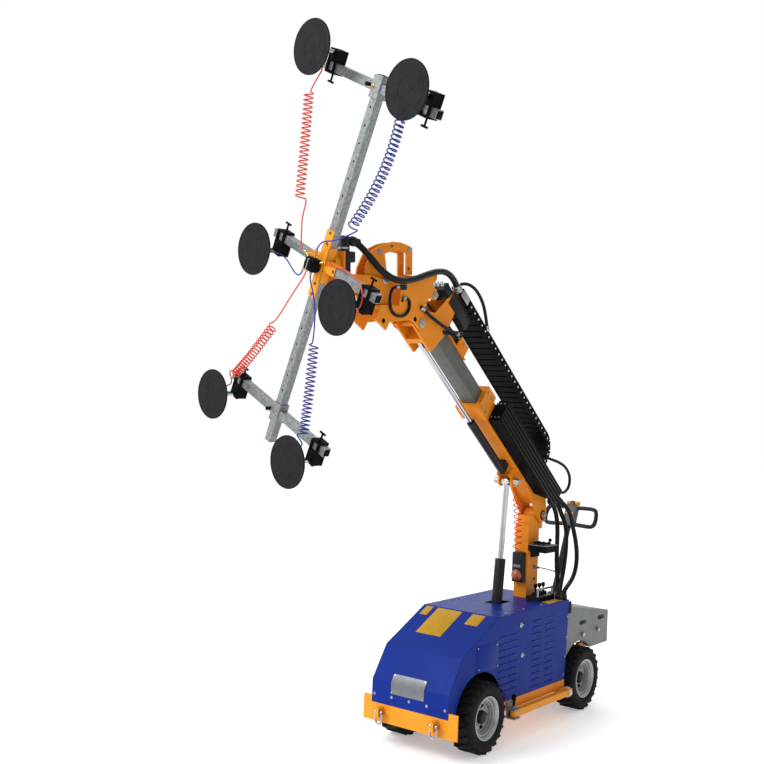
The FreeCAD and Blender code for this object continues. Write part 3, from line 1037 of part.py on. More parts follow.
def curl_points(axis_points, curls, radius):
    """Points and headings each quarter turn of a helix about a bowed axis of three points."""
    start, middle, end = axis_points
    reach = end - start
    side = reach.cross(Vector(0, 1, 0)).normalize()
    front = side.cross(reach).normalize()

    def place(share):
        along = start * (1 - share) ** 2 + middle * (2 * share * (1 - share)) + end * share ** 2
        turn = 2 * math.pi * curls * share
        return along + (side * math.cos(turn) + front * math.sin(turn)) * radius

    steps = round(4 * curls)
    spread = 0.001 / curls
    shares = [step / steps for step in range(steps + 1)]
    points = [place(share) for share in shares]
    headings = [(place(share + spread) - place(share - spread)).normalize() for share in shares]
    return points, headings


def biarc_edges(points, headings):
    """Two tangent arcs between each pair of points."""
    edges = []
    for start, end, leave, arrive in zip(points, points[1:], headings, headings[1:]):
        run = end - start
        both_ways = leave + arrive
        square = both_ways.dot(both_ways) - 4
        linear = -2 * run.dot(both_ways)
        root = math.sqrt(linear * linear - 4 * square * run.dot(run))
        reach = (-linear - root) / (2 * square)
        knee = start + leave * reach
        ankle = end - arrive * reach
        joint = (knee + ankle) * 0.5
        for first, corner, last in ((start, knee, joint), (joint, ankle, end)):
            weight = (last - first).Length / (2 * reach)
            middle = (first + last + corner * (2 * weight)) * (1 / (2 + 2 * weight))
            edges.append(Part.Arc(first, middle, last).toShape())
    return edges


def self_gap(points, headings, diameter):
    """The least gap between one turn and the next, on sampled points."""
    arcs = biarc_edges(points, headings)
    samples = [[arc.valueAt(arc.FirstParameter + share * (arc.LastParameter - arc.FirstParameter))
                for share in (0, 0.25, 0.5, 0.75)] for arc in arcs]
    flat = [spot for group_of_four in samples for spot in group_of_four]
    apart = 16
    least = min((flat[index] - flat[other]).Length
                for index in range(len(flat)) for other in range(index + apart, min(index + 6 * apart,
                                                                                    len(flat))))
    return least - diameter


def curly(label, before, axis_points, curls, after):
    """A curly hose: a plain lead, the helix with its ends straight for one diameter, a plain lead."""
    diameter = size("pad_hose")
    points, headings = curl_points(axis_points, curls, size("curl_radius"))
    print("%s: least gap between curls %.2f mm" % (label, self_gap(points, headings, diameter)))
    first = points[0] - headings[0] * diameter
    last = points[-1] + headings[-1] * diameter
    ease = LEAD_EASE * diameter
    lead_in = route_edges(before + [first - headings[0] * ease, first], label + " lead in")
    coil = [Part.LineSegment(first, points[0]).toShape()] + biarc_edges(points, headings)
    coil.append(Part.LineSegment(points[-1], last).toShape())
    lead_out = route_edges([last, last + headings[-1] * ease] + after, label + " lead out")
    return tube(lead_in + coil + lead_out, diameter, label)


def vectors(rows):
    return [Vector(*row) for row in rows]


def hose_node(label, solids):
    feature = doc.addObject("Part::Feature", label + "_solid")
    feature.Shape = Part.makeCompound(solids)
    keep(label, feature)


MAST_ROUTES = [
    [(103, 1204, 1542), (112, 1248, 1496), (136, 1260, 1425), (185, 1264, 1330), (206, 1240, 1220),
     (220, 1205, 1105), (234, 1152, 995), (247, 1096, 912), (250, 1085, 872),
     (250, 1085, 819.4)],
    [(138, 1193.4, 1522.4), (164, 1256, 1486), (186, 1316, 1418), (190, 1356, 1320), (204, 1386, 1215),
     (218, 1390, 1105), (232, 1352, 1010), (246, 1280, 948), (256, 1205, 915), (262, 1142, 888),
     (262, 1126, 864), (262, 1126, 819.4)],
    [(90, 1174, 1505), (102, 1220, 1466), (120, 1236, 1395), (140, 1222, 1305), (158, 1190, 1215),
     (174, 1160, 1115), (192, 1136, 1015), (213, 1124, 912), (218, 1122, 870), (218, 1122, 819.4)],
]
hose_node("mast_hoses", [tube(route_edges(vectors(route), "mast hose %d" % number), size("mast_hose"),
                              "mast hose %d" % number) for number, route in enumerate(MAST_ROUTES,
                                                                                      start=1)])

COLUMN_CURL = vectors([(0, 905, 1190), (0, 893, 1360), (0, 868, 1520)])
hose_node("column_hose", [curly("column hose", vectors([(0, 915, 1142.4), (0, 914, 1160)]), COLUMN_CURL, 8,
                                vectors([(0, 846, 1572), (0, 841.3, 1600.4), (0, 866, 1631.4)]))])

WRIST_ROUTES = [
    ("big_hose", [(-26.4, -1067.6, 3090), (-10, -1030, 3084), (22, -990, 3044), (62, -945, 2975),
                  (96, -885, 2916), (109, -795, 2888), (110.4, -685, 2896), (110.4, -570, 2928),
                  (110.4, -450, 2970), (110.4, -345, 2996), (106, -262, 2996), (96, -185, 2970),
                  (80, -118, 2931), (64, -70, 2899)]),
    ("loop_hose", [(99.4, -750, 2856), (99.4, -806, 2848), (99.4, -852, 2816), (99.4, -868, 2762),
                   (99.4, -838, 2706), (99.4, -770, 2680), (99.4, -694, 2690), (99.4, -642, 2732),
                   (99.4, -650, 2782), (99.4, -706, 2790)]),
    ("wrist_hose", [(14, -63.1, 2920.9), (40, -4, 2962), (68, 76, 2956), (80, 160, 2898), (83, 232, 2800),
                    (84, 275, 2689)]),
    ("wrist_hose", [(101.4, -520, 2756), (101.4, -450, 2722), (101.4, -370, 2690), (101.4, -280, 2660),
                    (101, -190, 2634), (98, -90, 2622)]),
]
hose_node("wrist_hoses", [tube(route_edges(vectors(route), "wrist hose %d" % number), size(kind),
                               "wrist hose %d" % number)
                          for number, (kind, route) in enumerate(WRIST_ROUTES, start=1)])

COILS = [
    ("upper right hose", [(14.4, -1446, 4004), (20, -1410, 4006), (2, -1394, 3976), (-46, -1390, 3928)],
     [(-94, -1389, 3870), (-135, -1357, 3600), (-205, -1308, 3310)], 22,
     [(-192, -1296, 3200), (-198, -1288, 3120), (-206, -1281, 3060), (-190, -1281.5, 3019),
      (-156.3, -1286.2, 3002.3)]),
    ("upper left hose", [(692.2, -1532.9, 3664.4), (698, -1496, 3666), (672, -1484, 3640)],
     [(625, -1486, 3600), (520, -1430, 3330), (215, -1340, 3112)], 24,
     [(128, -1322, 3056), (60, -1314, 3046), (0, -1308, 3052), (-48, -1304, 3038), (-76.1, -1298.2,
                                                                                    2995.9)]),
    ("lower right hose", [(-842, -1218.3, 2234.5), (-836.5, -1182, 2236.6), (-824, -1172, 2262)],
     [(-790, -1185, 2306), (-650, -1196, 2410), (-455, -1220, 2590)], 20,
     [(-400, -1228, 2655), (-305, -1242, 2757), (-215, -1262, 2838), (-170, -1277, 2872), (-150.7,
                                                                                           -1282, 2910.1)]),
    ("lower left hose", [(-166, -1305, 1895.7), (-160, -1269, 1898), (-146, -1260, 1922)],
     [(-135, -1272, 1975), (-95, -1280, 2200), (-86, -1270, 2480)], 20,
     [(-88, -1268, 2590), (-92, -1268, 2700), (-112, -1274, 2795), (-130, -1281, 2852), (-115.2,
                                                                                         -1286.7, 2892.4)]),
]
PLAIN_HOSES = [
    [(-414.7, -1326.3, 3011.8), (-409, -1291, 3014), (-372, -1262, 3006), (-325, -1255, 2965), (-285,
                                                                                                -1257,
                                                                                                2912),
     (-240, -1264, 2876), (-200, -1272, 2880), (-177.4, -1278.6, 2923.5)],
    [(-32.1, -1276.6, 2937.9), (5, -1282, 2921), (65, -1296, 2908), (135, -1312, 2890), (215, -1330, 2860),
     (285, -1350, 2812), (332, -1368, 2750), (335, -1380, 2682), (292, -1383, 2638), (238, -1376, 2636),
     (200, -1366, 2672), (187, -1366, 2716), (179.9, -1402.5, 2713.8)],
]
vacuum = [curly(label, vectors(before), vectors(axis), curls, vectors(after))
          for label, before, axis, curls, after in COILS]
vacuum += [tube(route_edges(vectors(route), "plain hose %d" % number), size("pad_hose"),
                "plain hose %d" % number)
           for number, route in enumerate(PLAIN_HOSES, start=1)]
hose_node("vacuum_hoses", vacuum)

# Check every object, then write each sub-part.
doc.recompute()
for thing in doc.Objects:
    if "Invalid" in thing.State or "Error" in thing.State:
        raise SystemExit("failed object: %s %s" % (thing.Name, thing.State))
os.makedirs("parts", exist_ok=True)
for node in NODES:
    if node.Shape.isNull() or not node.Shape.isValid() or not node.Shape.Solids:
        raise SystemExit("bad shape: " + node.Label)
for node in NODES:
    node.Shape.exportStep(os.path.join("parts", node.Label + ".step"))
print("wrote %d sub-parts" % len(NODES))
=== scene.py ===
# %% [markdown]
# # A glass panel lifter in Blender
# The machine is a wheeled carriage with a counterweight, a column, a telescopic boom and a turning
# frame of six suction pads. Its solids and joints come ready made; this lesson dresses them.

# %% Load the frame
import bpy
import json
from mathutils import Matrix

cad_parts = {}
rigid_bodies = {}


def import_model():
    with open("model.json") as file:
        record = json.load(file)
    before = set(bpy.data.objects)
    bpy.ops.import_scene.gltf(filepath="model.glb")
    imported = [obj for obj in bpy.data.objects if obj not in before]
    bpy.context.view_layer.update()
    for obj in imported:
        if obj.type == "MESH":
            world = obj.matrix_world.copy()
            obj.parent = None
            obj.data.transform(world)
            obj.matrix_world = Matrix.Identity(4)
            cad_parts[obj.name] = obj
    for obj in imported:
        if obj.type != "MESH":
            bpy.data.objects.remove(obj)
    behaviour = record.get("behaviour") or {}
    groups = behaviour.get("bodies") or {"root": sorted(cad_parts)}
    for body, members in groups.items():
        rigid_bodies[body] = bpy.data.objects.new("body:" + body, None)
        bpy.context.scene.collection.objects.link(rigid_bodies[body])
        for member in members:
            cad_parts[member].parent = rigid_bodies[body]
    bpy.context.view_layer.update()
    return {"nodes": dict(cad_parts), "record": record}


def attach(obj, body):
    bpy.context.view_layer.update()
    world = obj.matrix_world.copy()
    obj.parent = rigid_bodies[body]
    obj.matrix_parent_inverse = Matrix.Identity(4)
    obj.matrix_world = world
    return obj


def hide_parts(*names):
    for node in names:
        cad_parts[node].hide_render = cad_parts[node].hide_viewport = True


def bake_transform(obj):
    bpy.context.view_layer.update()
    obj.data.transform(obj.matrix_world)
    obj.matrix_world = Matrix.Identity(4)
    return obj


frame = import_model()

import json
import math

import bmesh
import bpy
from mathutils import Matrix, Vector

# %% [markdown]
# ## Local frames
# The boom, the wrist and the pad frame each lean their own way. A matrix for each lets a detail be
# given in the plain millimetres of its own group, instead of in slanted world numbers.

# %% Frames of the moving groups
MM = 0.001
WORLD = Matrix.Identity(4)


def scaled(place):
    """A place given in millimetres, in metres."""
    return Vector([value * MM for value in place])


def leaning(parent, place, degrees, axis):
    """A frame at a place of its parent, turned about one axis."""
    return parent @ Matrix.Translation(scaled(place)) @ Matrix.Rotation(math.radians(degrees), 4, axis)


BOOM = leaning(WORLD, (0, 1110, 1400), -38.5, "X")
TILT_PIN = BOOM @ Vector((0, -2038.5 * MM, -8 * MM))
YOKE = leaning(WORLD, [value / MM for value in TILT_PIN], 3.07, "X")
SWING = leaning(YOKE, (0, -315, 0), -8.8, "Z")
PADS = leaning(SWING, (0, -413, 313), 26, "Y")
TILLER = leaning(WORLD, (0, 1450, 770), -22, "X")
print("hub at", [round(value, 4) for value in PADS.translation])

# %% [markdown]
# ## Camera and light
# The camera was solved from the wheels and pads of the photograph. A large soft key from the front
# lights the nose and the pads; the pale room is dimmer on the machine's left, so that its flank and
# its black pieces stay deep, as in a catalogue picture.

# %% Camera
PICTURE_WIDTH = 764
FOCAL_PIXELS = 1072.79
CAMERA_PLACE = (3.9047, -5.7671, 2.1829)
YAW, PITCH, ROLL = 0.6611, -0.0172, -0.0397
forward = Vector((-math.sin(YAW) * math.cos(PITCH), math.cos(YAW) * math.cos(PITCH), -math.sin(PITCH)))
flat_right = Vector((math.cos(YAW), math.sin(YAW), 0))
flat_down = forward.cross(flat_right)
right = flat_right * math.cos(ROLL) + flat_down * math.sin(ROLL)
down = flat_down * math.cos(ROLL) - flat_right * math.sin(ROLL)
lens = bpy.data.cameras.new("photo_camera")
lens.sensor_fit = "HORIZONTAL"
lens.sensor_width = 36
lens.lens = FOCAL_PIXELS / PICTURE_WIDTH * lens.sensor_width
lens.clip_end = 100
camera = bpy.data.objects.new("photo_camera", lens)
camera.matrix_world = Matrix.Translation(CAMERA_PLACE) @ Matrix(
    (right, -down, -forward)).transposed().to_4x4()
bpy.context.scene.collection.objects.link(camera)
bpy.context.scene.camera = camera
print("camera lens", round(lens.lens, 2), "mm")


# %% Floor and lights
def area_light(name, place, target, width, power):
    lamp = bpy.data.lights.new(name, "AREA")
    lamp.shape = "DISK"
    lamp.size = width
    lamp.energy = power
    thing = bpy.data.objects.new(name, lamp)
    thing.location = place
    thing.rotation_euler = (Vector(target) - Vector(place)).to_track_quat("-Z", "Y").to_euler()
    bpy.context.scene.collection.objects.link(thing)


LAMPS = [("key", (-3.5, -7.0, 7.5), (0, 0, 1.6), 4.5, 610), ("fill", (7.5, -2.0, 4.5), (0, 0, 1.4), 4.0, 20),
         ("back", (-2.5, 6.5, 6.5), (0, 0, 1.6), 4.0, 160)]
for row in LAMPS:
    area_light(*row)
world = bpy.data.worlds.new("pale_studio")
world.use_nodes = True
sky, sky_links = world.node_tree.nodes, world.node_tree.links
way = sky.new("ShaderNodeTexCoord")
parts = sky.new("ShaderNodeSeparateXYZ")
shade = sky.new("ShaderNodeMapRange")
for socket, value in (("From Min", -0.2), ("From Max", 0.45), ("To Min", 1.0), ("To Max", 0.55)):
    shade.inputs[socket].default_value = value
sky_links.new(way.outputs["Generated"], parts.inputs[0])
sky_links.new(parts.outputs["X"], shade.inputs["Value"])
sky_links.new(shade.outputs["Result"], sky["Background"].inputs["Strength"])
sky["Background"].inputs["Color"].default_value = (1.0, 1.0, 1.0, 1)
bpy.context.scene.world = world
bpy.context.scene.view_settings.view_transform = "Standard"
FLOOR_HALF = 40
floor_mesh = bpy.data.meshes.new("studio_floor")
floor_mesh.from_pydata([(x * FLOOR_HALF, y * FLOOR_HALF, 0) for x, y in ((-1, -1), (1, -1), (1, 1), (-1, 1))],
                       [], [(0, 1, 2, 3)])
floor = bpy.data.objects.new("studio_floor", floor_mesh)
bpy.context.scene.collection.objects.link(floor)
print(len(LAMPS), "lights and a floor")

# %% [markdown]
# ## Finishes
# Paint, galvanising, rubber and plastic are never one flat colour. Each finish below lets a broad
# noise move the colour, a second one the gloss, and a fine grain lift the surface, all in object
# coordinates, so that the pattern stays on the piece when it moves.


# %% The general finish
def finish(name, light, dark, gloss, broad=5.0, grain=220.0, bump=0.06, metallic=0.0, coat=0.0, shine=0.5,
           cells=False):
    """A finish between two colours and two roughness values, with a fine bump."""
    material = bpy.data.materials.new(name)
    material.use_nodes = True
    nodes, links = material.node_tree.nodes, material.node_tree.links
    shader = nodes["Principled BSDF"]
    place = nodes.new("ShaderNodeTexCoord")

    def added(kind, **values):
        made = nodes.new("ShaderNode" + kind)
        for socket, value in values.items():
            made.inputs[socket.replace("_", " ")].default_value = value
        return made

    def pattern(kind, **values):
        made = added(kind, **values)
        links.new(place.outputs["Object"], made.inputs["Vector"])
        return made

    for socket, value in (("Metallic", metallic), ("Coat Weight", coat), ("Specular IOR Level", shine)):
        shader.inputs[socket].default_value = value
    if cells:
        patches = pattern("TexVoronoi", Scale=broad).outputs["Distance"]
    else:
        patches = pattern("TexNoise", Scale=broad, Detail=6, Roughness=0.62).outputs["Fac"]
    ramp = added("ValToRGB")
    for stop, position, colour in zip(ramp.color_ramp.elements, (0.32, 0.68), (dark, light)):
        stop.position = position
        stop.color = (*colour, 1)
    links.new(patches, ramp.inputs["Fac"])
    links.new(ramp.outputs["Color"], shader.inputs["Base Color"])
    smear = pattern("TexNoise", Scale=broad * 3.7, Detail=4)
    span = added("MapRange", From_Min=0.3, From_Max=0.7, To_Min=gloss[0], To_Max=gloss[1])
    links.new(smear.outputs["Fac"], span.inputs["Value"])
    links.new(span.outputs["Result"], shader.inputs["Roughness"])
    fine = pattern("TexNoise", Scale=grain, Detail=3)
    lift = added("Bump", Strength=bump, Distance=0.002)
    links.new(fine.outputs["Fac"], lift.inputs["Height"])
    links.new(lift.outputs["Normal"], shader.inputs["Normal"])
    return material


# %% Painted and metal finishes
ORANGE = finish("orange_paint", (0.74, 0.242, 0.014), (0.63, 0.192, 0.010), (0.34, 0.48), grain=160,
                shine=0.12)
# Painted light: the same orange paint, made lighter as if lit from the front, for the bumper, the stabiliser
# arms and the hub straps.
LIT_ORANGE_PAINT = finish("orange_paint_lit_copy", (0.80, 0.31, 0.018), (0.71, 0.26, 0.013), (0.32, 0.46), grain=160,
                     shine=0.15)
BLUE = finish("blue_paint", (0.007, 0.027, 0.235), (0.0055, 0.022, 0.200), (0.28, 0.40), grain=140,
              shine=0.05)
GREY = finish("weight_paint", (0.195, 0.218, 0.208), (0.150, 0.170, 0.163), (0.42, 0.58), grain=260,
              bump=0.14, shine=0.2)
ZINC = finish("galvanised", (0.235, 0.252, 0.256), (0.170, 0.186, 0.190), (0.38, 0.54), broad=46,
              metallic=0.4, cells=True)
DULL_ZINC = finish("dull_zinc", (0.108, 0.114, 0.102), (0.074, 0.078, 0.070), (0.42, 0.58), broad=18,
                   metallic=0.3)
STEEL = finish("bright_steel", (0.42, 0.42, 0.43), (0.31, 0.32, 0.33), (0.24, 0.38), broad=20, metallic=0.9)
PLATE = finish("silver_plate", (0.18, 0.185, 0.205), (0.14, 0.145, 0.162), (0.34, 0.48), broad=20,
               metallic=0.6)
CHROME = finish("chrome_rod", (0.52, 0.53, 0.55), (0.43, 0.44, 0.46), (0.08, 0.16), broad=12, bump=0.02,
                metallic=1.0)
SILVER = finish("wheel_silver", (0.38, 0.39, 0.40), (0.29, 0.30, 0.315), (0.30, 0.44), broad=14,
                metallic=0.6)
BRASS = finish("brass_fitting", (0.60, 0.38, 0.12), (0.46, 0.29, 0.09), (0.22, 0.36), broad=24, metallic=1.0)
RED_PAINT = finish("red_pin", (0.45, 0.06, 0.03), (0.34, 0.045, 0.022), (0.36, 0.5), broad=22)
YELLOW = finish("yellow_plate", (0.49, 0.275, 0.022), (0.42, 0.230, 0.017), (0.30, 0.42), broad=14,
                shine=0.05)

# %% Rubber, plastic and floor finishes
BLACK = finish("black_paint", (0.010, 0.010, 0.011), (0.006, 0.006, 0.007), (0.34, 0.5), broad=9, shine=0.22)
PLASTIC = finish("black_plastic", (0.006, 0.006, 0.0065), (0.0035, 0.0035, 0.004), (0.46, 0.62), broad=16,
                 grain=700, bump=0.16, shine=0.04)
DARK_GREY = finish("grey_plastic", (0.095, 0.100, 0.108), (0.072, 0.076, 0.083), (0.44, 0.58), broad=16,
                   grain=700, bump=0.14, shine=0.25)
RUBBER = finish("pad_rubber", (0.0165, 0.0165, 0.0185), (0.011, 0.011, 0.0125), (0.58, 0.74), broad=14,
                grain=420, bump=0.2, shine=0.08)
TYRE = finish("tyre_rubber", (0.011, 0.011, 0.0115), (0.006, 0.006, 0.0065), (0.62, 0.8), broad=18,
              grain=320, bump=0.3, shine=0.12)
HOSE = finish("hose_rubber", (0.007, 0.007, 0.008), (0.004, 0.004, 0.0045), (0.32, 0.46), broad=22,
              grain=500, bump=0.12, shine=0.16)
# Painted shade: a near-black finish for the discs that stand in for the shade inside open holes.
HOLE_SHADE = finish("painted_hole_shade", (0.004, 0.004, 0.004), (0.002, 0.002, 0.002), (0.7, 0.9), shine=0.05)
RED_TUBE = finish("red_tube", (0.70, 0.058, 0.030), (0.56, 0.040, 0.020), (0.22, 0.34), broad=26, bump=0.03,
                  shine=0.25)
BLUE_TUBE = finish("blue_tube", (0.016, 0.030, 0.27), (0.011, 0.022, 0.21), (0.22, 0.34), broad=26,
                   bump=0.03, shine=0.25)
AMBER = finish("amber_plastic", (0.70, 0.26, 0.020), (0.58, 0.20, 0.014), (0.34, 0.48), broad=24, grain=600,
               bump=0.1, shine=0.25)
LENS = finish("amber_lens", (0.42, 0.095, 0.014), (0.26, 0.052, 0.009), (0.10, 0.2), broad=24, coat=0.4)
NYLON = finish("white_nylon", (0.72, 0.72, 0.69), (0.60, 0.60, 0.57), (0.42, 0.56), broad=22)
FLOOR_GLOW = 0.34
pale_floor = finish("pale_floor", (0.90, 0.90, 0.90), (0.885, 0.885, 0.89), (0.62, 0.72), broad=1.2,
                    bump=0.01)
floor_shader = pale_floor.node_tree.nodes["Principled BSDF"]
floor_shader.inputs["Emission Color"].default_value = (1, 1, 1, 1)
floor_shader.inputs["Emission Strength"].default_value = FLOOR_GLOW
floor_mesh.materials.append(pale_floor)
print(len(bpy.data.materials), "finishes")

# %% [markdown]
# ## Hoses
# Black hydraulic hoses run from the deck to the boom and over the wrist; thin curly air hoses, red
# and blue, run from the vacuum block to the pads. Each follows one smooth spline and becomes a mesh
# tube; a hose that crosses a joint is left in the world frame, on no body.


# %% Hose helpers
def metres(points):
    return [Vector(point) * MM for point in points]


def spline_object(name, points, bevel=0.0):
    curve = bpy.data.curves.new(name, "CURVE")
    curve.dimensions = "3D"
    curve.resolution_u = 4
    curve.bevel_depth = bevel
    curve.bevel_resolution = 3
    curve.use_fill_caps = True
    line = curve.splines.new("NURBS")
    line.points.add(len(points) - 1)
    for knot, point in zip(line.points, points):
        knot.co = (*point, 1)
    line.order_u = 3
    line.use_endpoint_u = True
    thing = bpy.data.objects.new(name, curve)
    bpy.context.scene.collection.objects.link(thing)
    return thing


def settled(thing):
    """The plain mesh of an object as its modifiers and nodes leave it."""
    bpy.context.view_layer.update()
    return bpy.data.meshes.new_from_object(thing.evaluated_get(bpy.context.evaluated_depsgraph_get()))


def shown(name, mesh):
    thing = bpy.data.objects.new(name, mesh)
    bpy.context.scene.collection.objects.link(thing)
    return thing


def painted(mesh, material):
    mesh.materials.clear()
    mesh.materials.append(material)
    return mesh


def hose(name, points, diameter, material, bodies, node):
    """A hose along given points, riding one body, or left in the world frame when it spans two."""
    guide = spline_object(name + "_guide", points)
    path = [vertex.co.copy() for vertex in settled(guide).vertices]
    guide.data.bevel_depth = diameter / 2
    mesh = settled(guide)
    bpy.data.objects.remove(guide)
    for face in mesh.polygons:
        face.use_smooth = True
    tube = shown(name, painted(mesh, material))
    if len(bodies) == 1:
        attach(tube, bodies[0])
    else:
        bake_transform(tube)
    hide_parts(node)
    return tube


# %% Mast hoses from the deck to the boom
MAST_ROUTES = [
    [(103, 1204, 1542), (112, 1248, 1496), (136, 1260, 1425), (185, 1264, 1330), (206, 1240, 1220),
     (220, 1205, 1105), (234, 1152, 995), (247, 1096, 912), (250, 1085, 872), (250, 1085, 819.4)],
    [(138, 1193.4, 1522.4), (164, 1256, 1486), (186, 1316, 1418), (190, 1356, 1320), (204, 1386, 1215),
     (218, 1390, 1105), (232, 1352, 1010), (246, 1280, 948), (256, 1205, 915), (262, 1142, 888),
     (262, 1126, 864), (262, 1126, 819.4)],
    [(90, 1174, 1505), (102, 1220, 1466), (120, 1236, 1395), (140, 1222, 1305), (158, 1190, 1215),
     (174, 1160, 1115), (192, 1136, 1015), (213, 1124, 912), (218, 1122, 870), (218, 1122, 819.4)],
]
MAST_DIAMETER = 0.033
for number, route in enumerate(MAST_ROUTES, start=1):
    hose("mast_hose_%d" % number, metres(route), MAST_DIAMETER, HOSE, ("boom", "chassis"),
         "mast_hoses")

# %% Wrist hoses over the yoke
BIG_FRONT = [(-26.4, -1067.6, 3090), (-10, -1030, 3084), (22, -990, 3044), (62, -945, 2975),
             (96, -885, 2916), (109, -795, 2888), (110.4, -685, 2896), (110.4, -570, 2928)]
BIG_BACK = [(110.4, -570, 2928), (110.4, -450, 2970), (110.4, -345, 2996), (106, -262, 2996),
            (96, -185, 2970), (80, -118, 2931), (64, -70, 2899)]
LOOP = [(99.4, -750, 2856), (99.4, -796, 2850), (99.4, -826, 2818), (99.4, -836, 2762), (99.4, -814, 2706),
        (99.4, -766, 2682), (99.4, -692, 2684), (99.4, -640, 2722), (99.4, -634, 2778), (99.4, -668, 2802),
        (99.4, -706, 2790)]
CHAIN_END = [(14, -63.1, 2920.9), (40, -4, 2962), (68, 76, 2956), (80, 160, 2898), (83, 230, 2796),
             (84, 260, 2670)]
YOKE_SIDE = [(101.4, -520, 2756), (101.4, -450, 2722), (101.4, -370, 2690), (101.4, -280, 2660),
             (101, -190, 2634), (98, -90, 2622)]
for name, route, diameter, bodies in (
        ("wrist_hose_front", BIG_FRONT, 0.040, ("swing", "wrist")),
        ("wrist_hose_back", BIG_BACK, 0.040, ("wrist", "telescope")),
        ("wrist_hose_loop", LOOP, 0.018, ("wrist",)),
        ("chain_end_hose", CHAIN_END, 0.022, ("telescope",)),
        ("yoke_side_hose", YOKE_SIDE, 0.022, ("wrist", "telescope"))):
    hose(name, metres(route), diameter, HOSE, bodies, "wrist_hoses")

# %% [markdown]
# ## Curly hoses
# A curly hose is a helix wound about a bowed axis, with a plain lead at each end. The helix turns
# are more points of the same spline, twelve to a turn, so leads and curls are one smooth tube.

# %% Curly hoses to the pads
TURN_POINTS = 12
CURL_RADIUS = 0.0265
AIR_DIAMETER = 0.008


def curl(axis_points, curls):
    """Points of a helix about a bow through three points, and the headings of its ends."""
    start, middle, end = axis_points
    side = (end - start).cross(Vector((0, 1, 0))).normalized()
    front = side.cross(end - start).normalized()

    def spot(share):
        along = start * (1 - share) ** 2 + middle * (2 * share * (1 - share)) + end * share ** 2
        turn = 2 * math.pi * curls * share
        return along + (side * math.cos(turn) + front * math.sin(turn)) * CURL_RADIUS

    total = TURN_POINTS * curls
    points = [spot(step / total) for step in range(total + 1)]
    return points, (points[0] - points[1]).normalized(), (points[-1] - points[-2]).normalized()


def curly_route(before, axis, curls, after):
    helix, leave, arrive = curl(metres(axis), curls)
    ease = 3.5 * AIR_DIAMETER
    return metres(before) + [helix[0] + leave * ease] + helix + [helix[-1] + arrive * ease] + metres(after)


def air_hose(corner, points, material):
    hose("air_hose_" + corner, points, AIR_DIAMETER, material, ("pad_" + corner, "pad_frame"),
         "vacuum_hoses")


COILS = [
    ("upper_right", RED_TUBE, [(14.4, -1446, 4004), (20, -1410, 4006), (2, -1394, 3976), (-46, -1390, 3928)],
     [(-94, -1389, 3870), (-135, -1357, 3600), (-205, -1308, 3310)], 22,
     [(-192, -1296, 3200), (-198, -1288, 3120), (-206, -1281, 3060), (-190, -1281.5, 3019),
      (-156.3, -1286.2, 3002.3)]),
    ("upper_left", BLUE_TUBE, [(692.2, -1532.9, 3664.4), (698, -1496, 3666), (672, -1484, 3640)],
     [(625, -1486, 3600), (520, -1430, 3330), (215, -1340, 3112)], 24,
     [(128, -1322, 3056), (60, -1314, 3046), (0, -1308, 3052), (-48, -1304, 3038),
      (-76.1, -1298.2, 2995.9)]),
    ("lower_right", RED_TUBE, [(-842, -1218.3, 2234.5), (-836.5, -1182, 2236.6), (-824, -1172, 2262)],
     [(-790, -1185, 2306), (-650, -1196, 2410), (-455, -1220, 2590)], 20,
     [(-400, -1228, 2655), (-305, -1242, 2757), (-215, -1262, 2838), (-170, -1277, 2872),
      (-150.7, -1282, 2910.1)]),
    ("lower_left", BLUE_TUBE, [(-166, -1305, 1895.7), (-160, -1269, 1898), (-146, -1260, 1922)],
     [(-135, -1272, 1975), (-95, -1280, 2200), (-86, -1270, 2480)], 20,
     [(-88, -1268, 2590), (-92, -1268, 2700), (-112, -1274, 2795), (-130, -1281, 2852),
      (-115.2, -1286.7, 2892.4)]),
]
for corner, material, before, axis, curls, after in COILS:
    air_hose(corner, curly_route(before, axis, curls, after), material)

PLAIN = [
    ("middle_right", BLUE_TUBE,
     [(-414.7, -1326.3, 3011.8), (-409, -1291, 3014), (-372, -1262, 3006), (-325, -1255, 2965),
      (-285, -1257, 2912), (-240, -1264, 2876), (-200, -1272, 2880), (-177.4, -1278.6, 2923.5)]),
    ("middle_left", RED_TUBE,
     [(179.9, -1402.5, 2713.8), (187, -1366, 2716), (200, -1366, 2672), (238, -1376, 2636),
      (292, -1383, 2638), (335, -1380, 2682), (332, -1368, 2750), (285, -1350, 2812), (215, -1330, 2860),
      (135, -1312, 2890), (65, -1296, 2908), (5, -1282, 2921), (-32.1, -1276.6, 2937.9)]),
]
for corner, material, route in PLAIN:
    air_hose(corner, metres(route), material)

column_route = curly_route([(0, 915, 1142.4), (0, 914, 1160)],
                           [(0, 905, 1190), (0, 893, 1360), (0, 868, 1520)], 8,
                           [(0, 846, 1572), (0, 841.3, 1600.4), (0, 866, 1631.4)])
hose("column_air_hose", column_route, AIR_DIAMETER, RED_TUBE, ("chassis", "boom"), "column_hose")

# %% [markdown]
# ## Welded and folded pieces
# A sheet or a welded plate never ends in a razor edge. The CAD solids have the right shape but sharp
# corners, so each is copied, its triangles are merged to whole faces and its edges are rounded.


# %% Round the edges of the solids
def body_of(node):
    return next(name for name, nodes in frame["record"]["behaviour"]["bodies"].items() if node in nodes)


